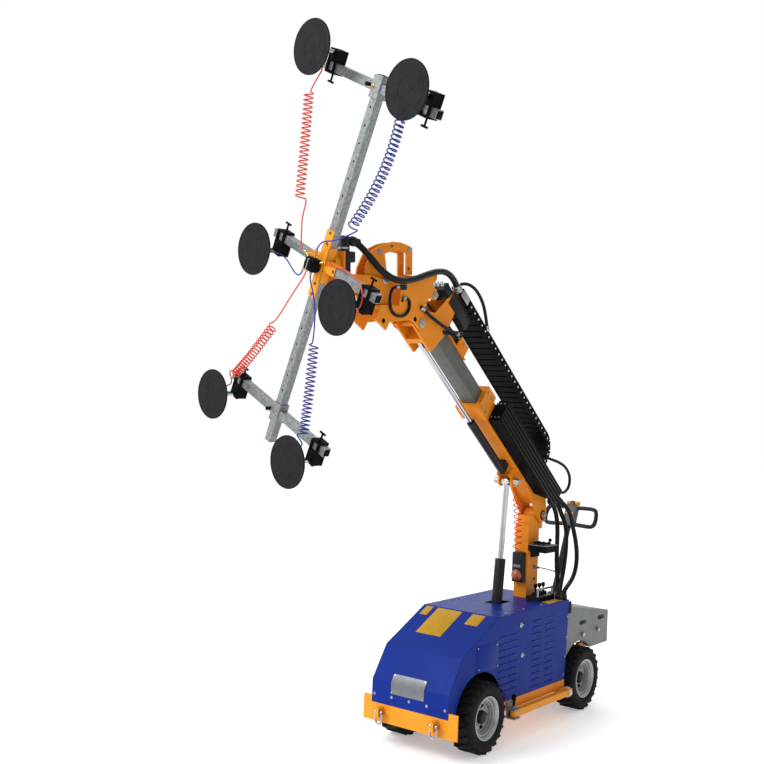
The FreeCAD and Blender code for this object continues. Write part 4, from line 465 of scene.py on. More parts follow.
def dressed(node, material, radius):
    """A copy of a CAD node with rounded edges, in the node's place."""
    mesh = frame["nodes"][node].data.copy()
    shape = bmesh.new()
    shape.from_mesh(mesh)
    bmesh.ops.remove_doubles(shape, verts=shape.verts, dist=2e-5)
    bmesh.ops.dissolve_limit(shape, angle_limit=math.radians(0.6), verts=shape.verts, edges=shape.edges)
    shape.to_mesh(mesh)
    shape.free()
    copy = shown(node + "_rounded", mesh)
    rounding = copy.modifiers.new("rounding", "BEVEL")
    rounding.width = radius
    rounding.segments = 2
    rounding.limit_method = "ANGLE"
    rounding.angle_limit = math.radians(40)
    rounding.use_clamp_overlap = True
    rounding.harden_normals = True
    final = settled(copy)
    bpy.data.objects.remove(copy)
    piece = shown(node + "_dressed", painted(final, material))
    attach(piece, body_of(node))
    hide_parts(node)
    return piece


DRESSES = [
    (ORANGE, 0.0025, ["chassis_frame", "column", "boom_tube", "boom_head", "tilt_yoke", "swing_bracket"]),
    # The bumper and the stabiliser arms take the lighter copy of the orange, which is painted light.
    (LIT_ORANGE_PAINT, 0.008, ["front_bumper"]),
    (LIT_ORANGE_PAINT, 0.003, ["stabiliser_arm_left", "stabiliser_arm_right"]),
    (BLUE, 0.0016, ["front_cowl", "side_panel_left", "side_panel_right"]),
    (GREY, 0.006, ["counterweight"]),
    (DULL_ZINC, 0.003, ["inner_tube"]),
    (ZINC, 0.003, ["cross_arms", "main_beam", "stabiliser_brackets"]),
    (STEEL, 0.0015, ["tow_shackle_left", "tow_shackle_right", "wheel_axles"]),
    (CHROME, 0.0015, ["lift_rod", "tilt_rod", "extension_rod"]),
    (BLACK, 0.002, ["lift_barrel", "tilt_barrel", "extension_barrel", "power_pack", "rotator_motor",
                    "tiller_arm", "valve_block"]),
    (PLASTIC, 0.004, ["battery_pack", "boom_cover", "remote_console"]),
    (PLASTIC, 0.002, ["valve_lever_1", "valve_lever_2", "valve_lever_3"]),
    (AMBER, 0.003, ["tiller_thumbwheels"]),
]
for material, radius, names in DRESSES:
    for node in names:
        made = dressed(node, material, radius)
        print(made.name, len(made.data.polygons), "faces")

# %% [markdown]
# ## Shapes from code
# Knobs, plates and fittings are turned or boxed. A small workshop collects many of them in one mesh:
# a rounded box, a turned profile and a rod between two points cover nearly all.

# %% Putting a piece on its body
TURNED_EDGE, REPEATED_EDGE = 35, 30


def smooth_shown(name, mesh, edge=REPEATED_EDGE):
    """The mesh as an object, smooth but for edges sharper than so many degrees."""
    for face in mesh.polygons:
        face.use_smooth = True
    mesh.set_sharp_from_angle(angle=math.radians(edge))
    return shown(name, mesh)


def on_body(name, mesh, body, nodes=(), edge=REPEATED_EDGE):
    """A finished mesh as a piece that rides a body."""
    thing = smooth_shown(name, mesh, edge)
    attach(thing, body)
    if nodes:
        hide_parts(*nodes)
    print(name, len(mesh.polygons), "faces")
    return thing


# %% A small workshop
def ring_of(shape, centre, across, up, radius, sides):
    if radius < 1e-7:
        return [shape.verts.new(centre)]
    turns = [2 * math.pi * step / sides for step in range(sides)]
    return [shape.verts.new(centre + across * math.cos(turn) * radius + up * math.sin(turn) * radius)
            for turn in turns]


class Workshop:
    """Collects boxes, turned shapes and rods, given in millimetres of one frame."""

    def __init__(self, place=WORLD):
        self.shape = bmesh.new()
        self.place = place

    def turned(self, start, heading, profile, sides=28):
        """A profile of (distance along, radius) turned about a heading."""
        base = self.place @ scaled(start)
        along = (self.place.to_3x3() @ Vector(heading)).normalized()
        across = along.orthogonal().normalized()
        up = along.cross(across)
        rings = [ring_of(self.shape, base + along * reach * MM, across, up, radius * MM, sides)
                 for reach, radius in profile]
        for first, second in zip(rings, rings[1:]):
            for step in range(sides):
                after = (step + 1) % sides
                corners = [first[step % len(first)], first[after % len(first)], second[after % len(second)],
                           second[step % len(second)]]
                unique = list(dict.fromkeys(corners))
                if len(unique) > 2:
                    self.shape.faces.new(unique)
        for ring in (rings[0], rings[-1]):
            if len(ring) > 2:
                self.shape.faces.new(ring)
        return self

    def rod(self, start, end, radius, sides=24, chamfer=0.12):
        run = Vector(end) - Vector(start)
        ease, length = radius * chamfer, run.length
        profile = [(0, radius - ease), (ease, radius), (length - ease, radius), (length, radius - ease)]
        return self.turned(start, run, profile, sides)

    def box(self, corner, other, rounding=1.5):
        """A rounded box between two opposite corners, in either order."""
        low, high = ([pick(pair) for pair in zip(corner, other)] for pick in (min, max))
        part = bmesh.new()
        bmesh.ops.create_cube(part, size=1)
        size = [(b - a) * MM for a, b in zip(low, high)]
        middle = Vector([(a + b) / 2 * MM for a, b in zip(low, high)])
        bmesh.ops.scale(part, vec=size, verts=part.verts)
        reach = min(rounding * MM, min(size) * 0.45)
        bmesh.ops.bevel(part, geom=part.edges[:], offset=reach, segments=2, profile=0.5, affect="EDGES")
        bmesh.ops.translate(part, vec=middle, verts=part.verts)
        bmesh.ops.transform(part, matrix=self.place, verts=part.verts)
        mesh = bpy.data.meshes.new("part")
        part.to_mesh(mesh)
        part.free()
        self.shape.from_mesh(mesh)
        bpy.data.meshes.remove(mesh)
        return self

    def piece(self, name, material, body, slot=None, nodes=()):
        bmesh.ops.recalc_face_normals(self.shape, faces=self.shape.faces)
        mesh = bpy.data.meshes.new(name)
        self.shape.to_mesh(mesh)
        self.shape.free()
        return on_body(name, painted(mesh, material), body, nodes, TURNED_EDGE)


# %% [markdown]
# ## Things that repeat
# Bolts, tread lugs, louvres and chain links are each one small shape set out many times. Geometry
# Nodes does that: a tree with named sizes places the shape, realizes it and gives it a finish.


# %% A helper for node trees
class Recipe:
    """A Geometry Nodes tree with named inputs. Its methods give the first output of a new node."""

    def __init__(self, name):
        self.tree = bpy.data.node_groups.new(name, "GeometryNodeTree")
        self.ids = {}
        for way in ("INPUT", "OUTPUT"):
            self.tree.interface.new_socket("Geometry", in_out=way, socket_type="NodeSocketGeometry")
        self.inlet = self.tree.nodes.new("NodeGroupInput")
        self.outlet = self.tree.nodes.new("NodeGroupOutput")

    def ask(self, name, kind="Float"):
        socket = self.tree.interface.new_socket(name, in_out="INPUT", socket_type="NodeSocket" + kind)
        self.ids[name] = socket.identifier
        return self.inlet.outputs[name]

    def node(self, kind, inputs=(), **settings):
        made = self.tree.nodes.new(kind)
        for key, value in settings.items():
            setattr(made, key, value)
        for key, value in dict(inputs).items():
            if isinstance(value, bpy.types.NodeSocket):
                self.tree.links.new(value, made.inputs[key])
            else:
                made.inputs[key].default_value = value
        return made.outputs[0]

    def sum_of(self, first, second=0.0, operation="MULTIPLY"):
        return self.node("ShaderNodeMath", {0: first, 1: second}, operation=operation)

    def xyz(self, x=0.0, y=0.0, z=0.0):
        return self.node("ShaderNodeCombineXYZ", {"X": x, "Y": y, "Z": z})

    def cube(self, size):
        return self.node("GeometryNodeMeshCube", {"Size": size})

    def cylinder(self, sides, radius, depth):
        return self.node("GeometryNodeMeshCylinder", {"Vertices": sides, "Radius": radius, "Depth": depth})

    def moved(self, geometry, **change):
        return self.node("GeometryNodeTransform", {"Geometry": geometry, **change})

    def joined(self, *parts):
        whole = self.tree.nodes.new("GeometryNodeJoinGeometry")
        for part in parts:
            self.tree.links.new(part, whole.inputs[0])
        return whole.outputs[0]

    def ring(self, number, count, radius):
        """The angle of a numbered point on a ring, and its cosine and sine times the radius."""
        angle = self.sum_of(self.sum_of(number, count, "DIVIDE"), 2 * math.pi)
        return angle, *(self.sum_of(self.sum_of(angle, operation=way), radius) for way in ("COSINE", "SINE"))

    def points_at(self, count, place):
        points = self.node("GeometryNodePoints", {"Count": count})
        return self.node("GeometryNodeSetPosition", {"Geometry": points, "Position": place})

    def set_out(self, points, instance, **aim):
        return self.node("GeometryNodeInstanceOnPoints", {"Points": points, "Instance": instance, **aim})

    def finished(self, geometry, material):
        return self.node("GeometryNodeSetMaterial", {"Geometry": geometry, "Material": material})

    def close(self, instances, material=None):
        """End the tree in real geometry, in one finish where the shapes have none yet."""
        real = self.node("GeometryNodeRealizeInstances", {"Geometry": instances})
        last = real if material is None else self.finished(real, material)
        self.tree.links.new(last, self.outlet.inputs[0])

    def make(self, mesh, values, place=WORLD):
        """The tree's plain mesh for these values, moved to a place."""
        base = shown("recipe_base", mesh)
        modifier = base.modifiers.new("recipe", "NODES")
        modifier.node_group = self.tree
        for name, value in values.items():
            modifier[self.ids[name]] = value
        made = settled(base)
        bpy.data.objects.remove(base)
        made.transform(place)
        return made


# %% Bolt heads on given spots
bolts_tree = Recipe("bolt_heads")
head_radius = bolts_tree.ask("Head radius")
head_height = bolts_tree.ask("Head height")
bolt_finish = bolts_tree.ask("Finish", "Material")
half_height = bolts_tree.sum_of(head_height, 0.5)
hexagon = bolts_tree.cylinder(6, head_radius, head_height)
washer = bolts_tree.cylinder(18, bolts_tree.sum_of(head_radius, 1.4), half_height)
bolt = bolts_tree.joined(bolts_tree.moved(hexagon, Translation=bolts_tree.xyz(z=half_height)), washer)
facing = bolts_tree.node("GeometryNodeInputNamedAttribute", {"Name": "facing"}, data_type="FLOAT_VECTOR")
aim = bolts_tree.node("FunctionNodeAlignRotationToVector", {"Vector": facing}, axis="Z")
bolts_tree.close(bolts_tree.set_out(bolts_tree.inlet.outputs["Geometry"], bolt, Rotation=aim), bolt_finish)


def bolts(name, spots, radius, body, material=STEEL, place=WORLD):
    """Bolt heads at (place, facing) pairs in millimetres of a frame."""
    mesh = bpy.data.meshes.new(name)
    turn = place.to_3x3()
    mesh.from_pydata([place @ scaled(spot) for spot, _ in spots], [], [])
    facings = mesh.attributes.new("facing", "FLOAT_VECTOR", "POINT")
    for row, (_, way) in zip(facings.data, spots):
        row.vector = turn @ Vector(way)
    made = bolts_tree.make(mesh, {"Head radius": radius * MM, "Head height": radius * MM, "Finish": material})
    return on_body(name, made, body)


# %% [markdown]
# ## Wheels
# The tyres are knobby: a round carcass with staggered rows of slanted lugs. The rims are silver
# pressings with stepped rings, a dark hub and wheel bolts. Carcass and rim are turned on a lathe.

# %% Tread lugs
tread = Recipe("tread_lugs")
lug_count = tread.ask("Lugs", "Int")
lug_reach = tread.ask("Radius")
lug_side = tread.ask("Side")
lug_size = tread.ask("Lug size", "Vector")
lug_slant = tread.ask("Slant")
lug_phase = tread.ask("Phase")
lug_finish = tread.ask("Finish", "Material")
lug_number = tread.sum_of(tread.node("GeometryNodeInputIndex"), lug_phase, "ADD")
lug_angle, lug_up, lug_ahead = tread.ring(lug_number, lug_count, lug_reach)
lug_spots = tread.points_at(lug_count, tread.xyz(lug_side, tread.sum_of(lug_ahead, -1.0), lug_up))
lug_block = tread.node("GeometryNodeMeshCone", {
    "Vertices": 4, "Radius Top": 0.58, "Radius Bottom": 0.74, "Depth": 1.0})
lug_shape = tread.moved(tread.moved(lug_block, Rotation=(0, 0, math.pi / 4)), Scale=lug_size)
lug_turned = tread.moved(lug_shape, Rotation=tread.xyz(z=lug_slant))
tread.close(tread.set_out(lug_spots, lug_turned, Rotation=tread.xyz(lug_angle)), lug_finish)

# %% Tyres, lugs and rims
CARCASS = [(-58, 125), (-66, 134), (-76, 150), (-82, 172), (-80, 194), (-70, 206), (-40, 211), (0, 212),
           (40, 211), (70, 206), (80, 194), (82, 172), (76, 150), (66, 134), (58, 125), (-58, 125)]
RIM = [(22, 0), (22, 50), (14, 57), (14, 78), (20, 82), (20, 92), (34, 95), (34, 103), (48, 106), (50, 114),
       (64, 118), (70, 122), (75, 130), (74, 137), (69, 137), (66, 125), (-66, 125), (-69, 137), (-74, 137),
       (-72, 121), (-60, 116), (-8, 112), (-8, 48), (-45, 46), (-45, 0)]
HUB_CAP = [(22, 44), (34, 42), (48, 34), (52, 22), (52, 0)]
TREAD_RADIUS, WHEEL_HEIGHT, LUGS_IN_ROW = 0.2245, 225, 22
LUG_SIZES = {"front": Vector((0.058, 0.034, 0.022)), "rear": Vector((0.058, 0.030, 0.020))}
LUG_ROWS = ((46, 0.0, 0.5), (-46, 0.5, -0.5), (0, 0.25, 0.25))
BOLT_CIRCLE, BOLT_COUNT = 70, 5
SIDES = (("left", 1), ("right", -1))
for axle, track, place_y in (("front", 283, 0), ("rear", 255, 1367)):
    size = LUG_SIZES[axle]
    for side, sign in SIDES:
        corner = axle + "_" + side
        body = "wheel_" + corner
        centre, out = (sign * track, place_y, WHEEL_HEIGHT), (sign, 0, 0)
        hub = Matrix.Translation(scaled(centre))
        Workshop().turned(centre, out, CARCASS, 72).piece(
            "tyre_carcass_" + corner, TYRE, body, nodes=["tyre_" + corner])
        for row, (offset, phase, slant) in enumerate(LUG_ROWS, start=1):
            lugs = tread.make(bpy.data.meshes.new("lug_base"), {
                "Lugs": LUGS_IN_ROW, "Radius": TREAD_RADIUS - size.z, "Side": offset * MM, "Lug size": size,
                "Slant": slant, "Phase": phase, "Finish": TYRE}, hub)
            on_body("tyre_lugs_%s_%d" % (corner, row), lugs, body)
        Workshop().turned(centre, out, RIM, 64).piece(
            "rim_pressing_" + corner, SILVER, body, nodes=["rim_" + corner])
        Workshop().turned(centre, out, HUB_CAP, 40).piece("hub_cap_" + corner, BLACK, body, "wheel_silver")
        turns = [2 * math.pi * step / BOLT_COUNT for step in range(BOLT_COUNT)]
        spots = [((sign * 16, BOLT_CIRCLE * math.cos(turn), BOLT_CIRCLE * math.sin(turn)), out)
                 for turn in turns]
        bolts("wheel_bolts_" + corner, spots, 9, body, BLACK, hub)

# %% [markdown]
# ## Suction pads
# Each pad is a rubber disc with faint sectors on its face, a chrome stem and a black clamp with a
# T-knob. The solid is one lump, so disc, stem, clamp and nipple are made anew in its place, turned and
# boxed in the frame of the pads, and each gets its own finish.

# %% Pads, stems and clamps
ROWS = {"upper": (1008, 1083, 0.065), "middle": (0, -90, 0.18), "lower": (-946, -1036, 0.067)}
PAD_REACH = 408
PAD_SPOTS = [(row, "%s_%s" % (row, side), sign * PAD_REACH) for row in ROWS for side, sign in SIDES]
PAD_RIM = [(160, 38), (172, 42), (174, 104), (184, 143), (189, 150), (196, 151), (200, 149.5), (200, 143),
           (198.4, 141), (198.4, 120), (200, 118), (200, 60), (198.6, 58), (198.6, 30), (200, 28), (200, 0)]
AHEAD = (0, -1, 0)
CLAMP_HALF, ARM_HALF, KNOB_DROP = 37.5, 25.3, 45
for row, name, x in PAD_SPOTS:
    arm_z, stem_z, nipple_share = ROWS[row]
    away = 1 if stem_z > arm_z else -1
    body = "pad_" + name
    Workshop(PADS).turned((x, 0, stem_z), AHEAD, PAD_RIM, 64).piece(
        "pad_disc_" + name, RUBBER, body, nodes=["suction_pad_" + name])
    stem = Workshop(PADS)
    stem.rod((x, 44, stem_z), (x, -164, stem_z), 15)
    stem.turned((x, -150, stem_z), AHEAD, [(0, 15), (0, 26), (8, 30), (14, 30)])
    stem.piece("pad_stem_" + name, CHROME, body)
    clamp = Workshop(PADS)
    near, far = arm_z - away * CLAMP_HALF, stem_z + away * 22
    for low_x, high_x in ((x - CLAMP_HALF, x - 22), (x + 22, x + CLAMP_HALF)):
        for low_y, high_y in ((-CLAMP_HALF, -ARM_HALF), (ARM_HALF, CLAMP_HALF)):
            clamp.box((low_x, low_y, near), (high_x, high_y, far), 2)
    clamp.box((x - 37, -37, near), (x + 37, 37, arm_z - away * ARM_HALF), 2)
    clamp.box((x - 34, -36, arm_z + away * 25.5), (x + 34, 36, far), 3)
    clamp.box((x - 24, -30, near), (x + 24, 30, arm_z - away * 26), 2)
    knob_z = near - away * KNOB_DROP
    clamp.rod((x, 0, near), (x, 0, knob_z), 6)
    clamp.rod((x - 24, 0, knob_z), (x + 24, 0, knob_z), 6.5)
    clamp.rod((x - 14, 40, stem_z - away * 14), (x - 14, 58, stem_z - away * 14), 9)
    clamp.piece("pad_clamp_" + name, PLASTIC, body)
    nipple_x, nipple_z = x * (1 - nipple_share), stem_z * (1 - nipple_share)
    Workshop(PADS).rod((nipple_x, -178, nipple_z), (nipple_x, -146, nipple_z), 7, 14).piece(
        "pad_nipple_" + name, BRASS, body, "chrome_rod")

# %% Sector ribs on the pad faces
spokes = Recipe("pad_sectors")
rib_count = spokes.ask("Ribs", "Int")
rib_middle = spokes.ask("Middle radius")
rib_size = spokes.ask("Rib size", "Vector")
rib_finish = spokes.ask("Finish", "Material")
rib_turn, rib_x, rib_y = spokes.ring(spokes.node("GeometryNodeInputIndex"), rib_count, rib_middle)
rib_spots = spokes.points_at(rib_count, spokes.xyz(rib_x, rib_y))
spokes.close(spokes.set_out(rib_spots, spokes.cube(rib_size), Rotation=spokes.xyz(z=rib_turn)), rib_finish)
for row, name, x in PAD_SPOTS:
    face = leaning(PADS, (x, -200, ROWS[row][1]), 90, "X")
    ribs = spokes.make(bpy.data.meshes.new("rib_base"), {
        "Ribs": 24, "Middle radius": 0.089, "Rib size": Vector((0.058, 0.0016, 0.0008)),
        "Finish": RUBBER}, face)
    on_body("pad_sectors_" + name, ribs, "pad_" + name)

# %% [markdown]
# ## Energy chain
# The chain carries the hoses along the boom. Its links have side plates, cross bars and pale pins.
# The lower run and the bend stay with the boom; the upper run is left in the world frame, on no body.

# %% Chain links
links_tree = Recipe("chain_links")
link_finish = links_tree.ask("Finish", "Material")
pin_finish = links_tree.ask("Pin finish", "Material")
link_length = links_tree.ask("Link length")


def link_bar(width, share, height):
    """A bar of the link, a share of the link's length long."""
    return links_tree.cube(links_tree.xyz(width, links_tree.sum_of(link_length, share), height))


BOTH = (-1, 1)
bars = []
for way in BOTH:
    bars.append(links_tree.moved(link_bar(0.012, 1.12, 0.058), Translation=(way * 0.084, 0, 0)))
    bars.append(links_tree.moved(link_bar(0.17, 0.80, 0.009), Translation=(0, 0, way * 0.022)))
dark_link = links_tree.finished(links_tree.joined(*bars, link_bar(0.158, 1.02, 0.034)), link_finish)
pins = links_tree.moved(links_tree.cylinder(12, 0.0065, 0.1845), Rotation=(0, math.pi / 2, 0))
whole_link = links_tree.joined(dark_link, links_tree.finished(pins, pin_finish))
link_turn = links_tree.node("GeometryNodeInputNamedAttribute", {"Name": "turn"}, data_type="FLOAT")
links_tree.close(links_tree.set_out(links_tree.inlet.outputs["Geometry"], whole_link,
                                    Rotation=links_tree.xyz(link_turn)))

# %% Chain runs
LINK = 56.7
CHAIN_LOW, CHAIN_TURN, CHAIN_BACK = 210, 115, -375
LOWER_LINKS, BEND_LINKS, UPPER_LINKS = 9, 6, 26


def chain_run(name, spots):
    mesh = bpy.data.meshes.new(name)
    mesh.from_pydata([(0, y * MM, z * MM) for y, z, _ in spots], [], [])
    turns = mesh.attributes.new("turn", "FLOAT", "POINT")
    for row, (_, _, turn) in zip(turns.data, spots):
        row.value = turn
    return links_tree.make(mesh, {"Finish": PLASTIC, "Pin finish": NYLON, "Link length": LINK * MM}, BOOM)


lower = [(CHAIN_BACK - LINK * (step + 0.5), CHAIN_LOW, 0.0) for step in range(LOWER_LINKS)]
for step in range(BEND_LINKS):
    turn = math.pi * (step + 0.5) / BEND_LINKS
    lower.append((CHAIN_BACK + CHAIN_TURN * math.sin(turn),
                  CHAIN_LOW + CHAIN_TURN * (1 - math.cos(turn)), turn))
on_body("chain_lower_run", chain_run("chain_lower_run", lower), "boom", ["energy_chain"])
upper = [(CHAIN_BACK - LINK * (step + 0.5), CHAIN_LOW + 2 * CHAIN_TURN, 0.0) for step in range(UPPER_LINKS)]
chain_upper = smooth_shown("chain_upper_run", chain_run("chain_upper_run", upper))
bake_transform(chain_upper)
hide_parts("energy_chain")
print("chain links", len(lower) + len(upper))

# %% [markdown]
# ## Body trim
# The blue cowl carries a bare silver plate with rivets on its nose, plain yellow plates on the brow,
# a row of bolts along its lower edge, and on each flank a hatch, louvres, catches and screws.

# %% Plates and bolts of the cowl
UP = (0, 0, 1)
NOSE_LINE = [(-347.2, 348), (-347.2, 418.4), (-316, 466), (-318, 467.4), (-349.4, 419.2), (-349.4, 348)]
nose_plate = Workshop()
right_end, left_end = ([nose_plate.shape.verts.new((x * MM, y * MM, z * MM)) for y, z in NOSE_LINE]
                       for x in (-142, 112))
nose_plate.shape.faces.new(right_end)
nose_plate.shape.faces.new(left_end[::-1])
for step in range(len(NOSE_LINE)):
    after = (step + 1) % len(NOSE_LINE)
    nose_plate.shape.faces.new((right_end[step], left_end[step], left_end[after], right_end[after]))
nose_plate.piece("nose_plate", PLATE, "chassis")
bolts("nose_rivets", [((x, y, z), way) for y, z, way in ((-349.4, 358, AHEAD), (-323, 458, (0, -0.83, 0.55)))
                      for x in (-132, 102)], 4.5, "chassis")
bolts("cowl_bolts", [((x, -346, 326), AHEAD) for x in (-270, -135, 0, 135, 270)], 6.5, "chassis")
BROW = leaning(WORLD, (0, -213, 618), math.degrees(math.atan2(201, 407)), "X")
for name, low_x, high_x, low_y, high_y in (
        ("wide", -170, 24, 160, 440), ("left", 106, 205, 325, 440), ("right", -262, -206, 345, 440)):
    brow_plate = Workshop(BROW).box((low_x, low_y, 0.2), (high_x, high_y, 1.6), 0.5)
    brow_plate.piece("brow_plate_" + name, YELLOW, "chassis")
Workshop().box((214, 884, 819.2), (284, 1078, 821), 0.5).piece("deck_plate", YELLOW, "chassis")
bolts("deck_bolts", [((x, y, 819), UP) for x in (-262, 262) for y in (330, 560, 800)], 7, "chassis")

# %% Flank louvres
louvres = Recipe("flank_louvres")
slat_rows = louvres.ask("Rows", "Int")
slat_columns = louvres.ask("Columns", "Int")
slat_field = louvres.ask("Field", "Vector")
slat_size = louvres.ask("Slat size", "Vector")
slat_lean = louvres.ask("Lean")
slat_finish = louvres.ask("Finish", "Material")
across, upward, _ = louvres.node("ShaderNodeSeparateXYZ", {0: slat_field}).node.outputs
slat_grid = louvres.node("GeometryNodeMeshGrid", {
    "Size X": across, "Size Y": upward, "Vertices X": slat_columns, "Vertices Y": slat_rows})
slat = louvres.moved(louvres.cube(slat_size), Rotation=louvres.xyz(slat_lean))
louvres.close(louvres.set_out(slat_grid, slat), slat_finish)
FIELDS = [("front", 333, 500, 9, 0.126, 0.352), ("back", 790, 505, 11, 0.180, 0.440)]
for side, sign in SIDES:
    for field_name, y, z, rows, wide, tall in FIELDS:
        face = Matrix.Translation((sign * 0.2942, y * MM, z * MM)) @ Matrix(
            ((0, 0, sign), (sign, 0, 0), (0, 1, 0))).to_4x4()
        slats = louvres.make(bpy.data.meshes.new("slat_base"), {
            "Rows": rows, "Columns": 2, "Field": Vector((wide, tall, 0)),
            "Slat size": Vector((0.104, 0.017, 0.003)), "Lean": math.radians(24), "Finish": BLUE}, face)
        on_body("louvres_%s_%s" % (field_name, side), slats, "chassis")

# %% Flank hatches, catches and screws
FLANK = 294
SCREWS = [(-40, 654), (179, 648), (195, 511), (-25, 520), (1128, 700), (1120, 556), (1106, 422), (1092, 296)]
for side, sign in SIDES:
    face, out = sign * FLANK, (sign, 0, 0)
    hatch = Workshop().box((face, -58, 498), (face + sign * 1.4, 214, 668), 0.5)
    hatch.piece("hatch_" + side, BLUE, "chassis")
    seam = Workshop().box((face, 496, 262), (face + sign * 0.6, 500, 812), 0.2)
    seam.piece("door_seam_" + side, BLACK, "chassis")
    catches = Workshop()
    for y, z in ((481, 730), (509, 527)):
        catches.turned((face - sign, y, z), out, [(0, 17), (3, 17), (5, 14), (5, 0)], 24)
        catches.box((face, y - 22, z - 5), (face + sign * 8, y + 22, z + 5), 2.5)
    catches.piece("catches_" + side, STEEL, "chassis")
    bolts("flank_screws_" + side, [((face, y, z), out) for y, z in SCREWS], 5, "chassis")
    Workshop().box((sign * 292 - 8, 1150, 716), (sign * 292 + 4, 1186, 802), 4).piece(
        "corner_rubber_" + side, RUBBER, "chassis", "black_plastic")

# %% Weight, stabiliser and bumper fittings
STABILISER_X = 332
for side, sign in SIDES:
    out = (sign, 0, 0)
    knobs = Workshop()
    for y, z in ((1408, 532), (1648, 536)):
        knobs.turned((sign * 269, y, z), out, [(0, 12), (6, 12), (8, 17), (20, 18), (24, 12), (24, 0)], 24)
    knobs.piece("weight_knobs_" + side, STEEL, "chassis")
    x = sign * STABILISER_X
    plunger = Workshop()
    plunger.rod((x, 360, 229), (x, 360, 268), 9)
    plunger.turned((x, 360, 262), UP, [(0, 10), (4, 15), (34, 15), (40, 11), (40, 0)], 24)
    plunger.piece("stabiliser_plunger_" + side, PLASTIC, "chassis")
    foot = Workshop()
    foot.turned((x, 1079, 180), (0, 1, 0), [(0, 30), (0, 35.5), (24, 35.5), (33, 30), (33, 0)], 32)
    foot.piece("stabiliser_foot_" + side, NYLON, "stabiliser_" + side)
    bolts("clevis_bolts_" + side, [((sign * 302, y, 240), out) for y in (334, 386)], 8, "chassis")
    pins = Workshop()
    for reach in BOTH:
        pin_x = sign * 210 + reach * 31
        pins.turned((pin_x, -377, 225), (reach, 0, 0), [(0, 11), (7, 11), (9, 8), (9, 0)], 20)
    pins.piece("shackle_pin_heads_" + side, RED_PAINT, "shackle_" + side)

# %% [markdown]
# ## Steering handle
# The head of the handle is a moulded grey case with amber thumb wheels, between two black loops for
# the hands. A loop is one bent tube, so it follows a short spline; the case is a rounded block.


# %% Handle case and loops
def bent(name, points, radius, material, body, place=WORLD):
    """A round bar bent along given points of a frame."""
    guide = spline_object(name + "_guide", [place @ point for point in metres(points)], radius * MM)
    mesh = settled(guide)
    bpy.data.objects.remove(guide)
    return on_body(name, painted(mesh, material), body)


LOOP_LINE = [(40, 563), (125, 558), (196, 556), (214, 590), (212, 650), (198, 694), (125, 700), (40, 695)]
case = Workshop(TILLER)
case.box((-50, -30, 545), (50, 30, 712), 17)
case.box((-15, -24, 690), (15, 24, 749), 11)
case.piece("handle_case", DARK_GREY, "tiller", nodes=["tiller_head"])
for side, sign in SIDES:
    bent("handle_loop_" + side, [(sign * x, 0, z) for x, z in LOOP_LINE], 16, BLACK, "tiller",
         TILLER)
keys = Workshop(TILLER)
for x in (-26, 0, 26):
    for way in BOTH:
        keys.turned((x, way * 29, 640), (0, way, 0), [(0, 9), (4, 9), (5.5, 7), (5.5, 0)], 20)
keys.piece("handle_keys", AMBER, "tiller")

# %% [markdown]
# ## Beacon, console and valves
# Beside the column hang an amber warning lamp in a black case and a tray with the remote control; the
# valve bank stands on the deck behind a steel hoop. All are turned and boxed in place.

# %% Beacon and console
Workshop().box((-42, 900, 929), (42, 952, 1142), 6).piece(
    "beacon_case", BLACK, "chassis", "black_plastic", ["beacon"])
LENS_DOME = [(0, 42), (6, 42), (8, 39), (17, 35), (25, 25), (30, 11), (31, 0)]
Workshop().turned((-2, 902, 976), AHEAD, LENS_DOME, 40).piece("beacon_lens", LENS, "chassis")
Workshop().box((-30, 897.5, 1034), (30, 901, 1054), 1).piece("beacon_plate", PLATE, "chassis")
TRAY_TOP = 1196
Workshop().box((68, 966, TRAY_TOP - 3), (186, 1112, TRAY_TOP + 2), 1).piece(
    "console_panel", DARK_GREY, "chassis", "black_plastic")
rim = Workshop()
for first, second in (((60, 957), (196, 957)), ((60, 1123), (196, 1123)), ((60, 957), (60, 1123)),
                      ((196, 957), (196, 1123))):
    rim.rod((*first, TRAY_TOP), (*second, TRAY_TOP), 4, 12)
rim.piece("console_rim", PLATE, "chassis")
sticks = Workshop()
for x in (88, 122, 156):
    for y in (990, 1024, 1058):
        sticks.turned((x, y, TRAY_TOP), UP, [(0, 6), (9, 5), (11, 9), (19, 10), (23, 7), (23, 0)], 16)
sticks.turned((150, 1098, TRAY_TOP), UP, [(0, 7), (22, 6), (25, 12), (38, 13), (43, 9), (43, 0)], 18)
sticks.piece("console_sticks", PLASTIC, "chassis")

# %% Valve bank and column sensor
LEFT, RIGHT = (1, 0, 0), (-1, 0, 0)
hoop = Workshop()
for y in (874, 1076):
    hoop.rod((191, y, 838), (191, y, 909), 7.6, 16)
hoop.rod((191, 866.4, 903), (191, 1083.6, 903), 7.6, 16)
hoop.piece("valve_hoop", STEEL, "chassis")
spools = Workshop()
for y in (892, 948, 1003, 1058):
    spools.turned((204, y, 837), LEFT, [(0, 13), (9, 13), (12, 9), (12, 0)], 20)
    spools.turned((121, y, 837), RIGHT, [(0, 12), (14, 12), (16, 8), (30, 8), (30, 0)], 20)
spools.piece("valve_spools", PLASTIC, "chassis", "black_paint")
SENSOR = [(0, 19), (5, 19), (6, 14), (22, 14), (24, 9), (40, 9), (41, 6)]
Workshop().turned((52, 1055, 1028), LEFT, SENSOR, 6).piece("column_sensor", STEEL, "chassis")
bent("sensor_lead", [(92, 1055, 1028), (116, 1056, 1029), (142, 1078, 1022), (168, 1112, 1010),
                     (196, 1136, 1002)], 4, HOSE, "chassis")


def hole_shades(name, spots, body, place=WORLD):
    """Dark round discs at (place, facing, radius) triples, painted shade for the inside of holes."""
    shop = Workshop(place)
    for spot, way, radius in spots:
        shop.turned(spot, way, [(-1, radius), (0.6, radius), (0.6, radius * 0.9), (0.6, 0)], 24)
    shop.piece(name, HOLE_SHADE, body)
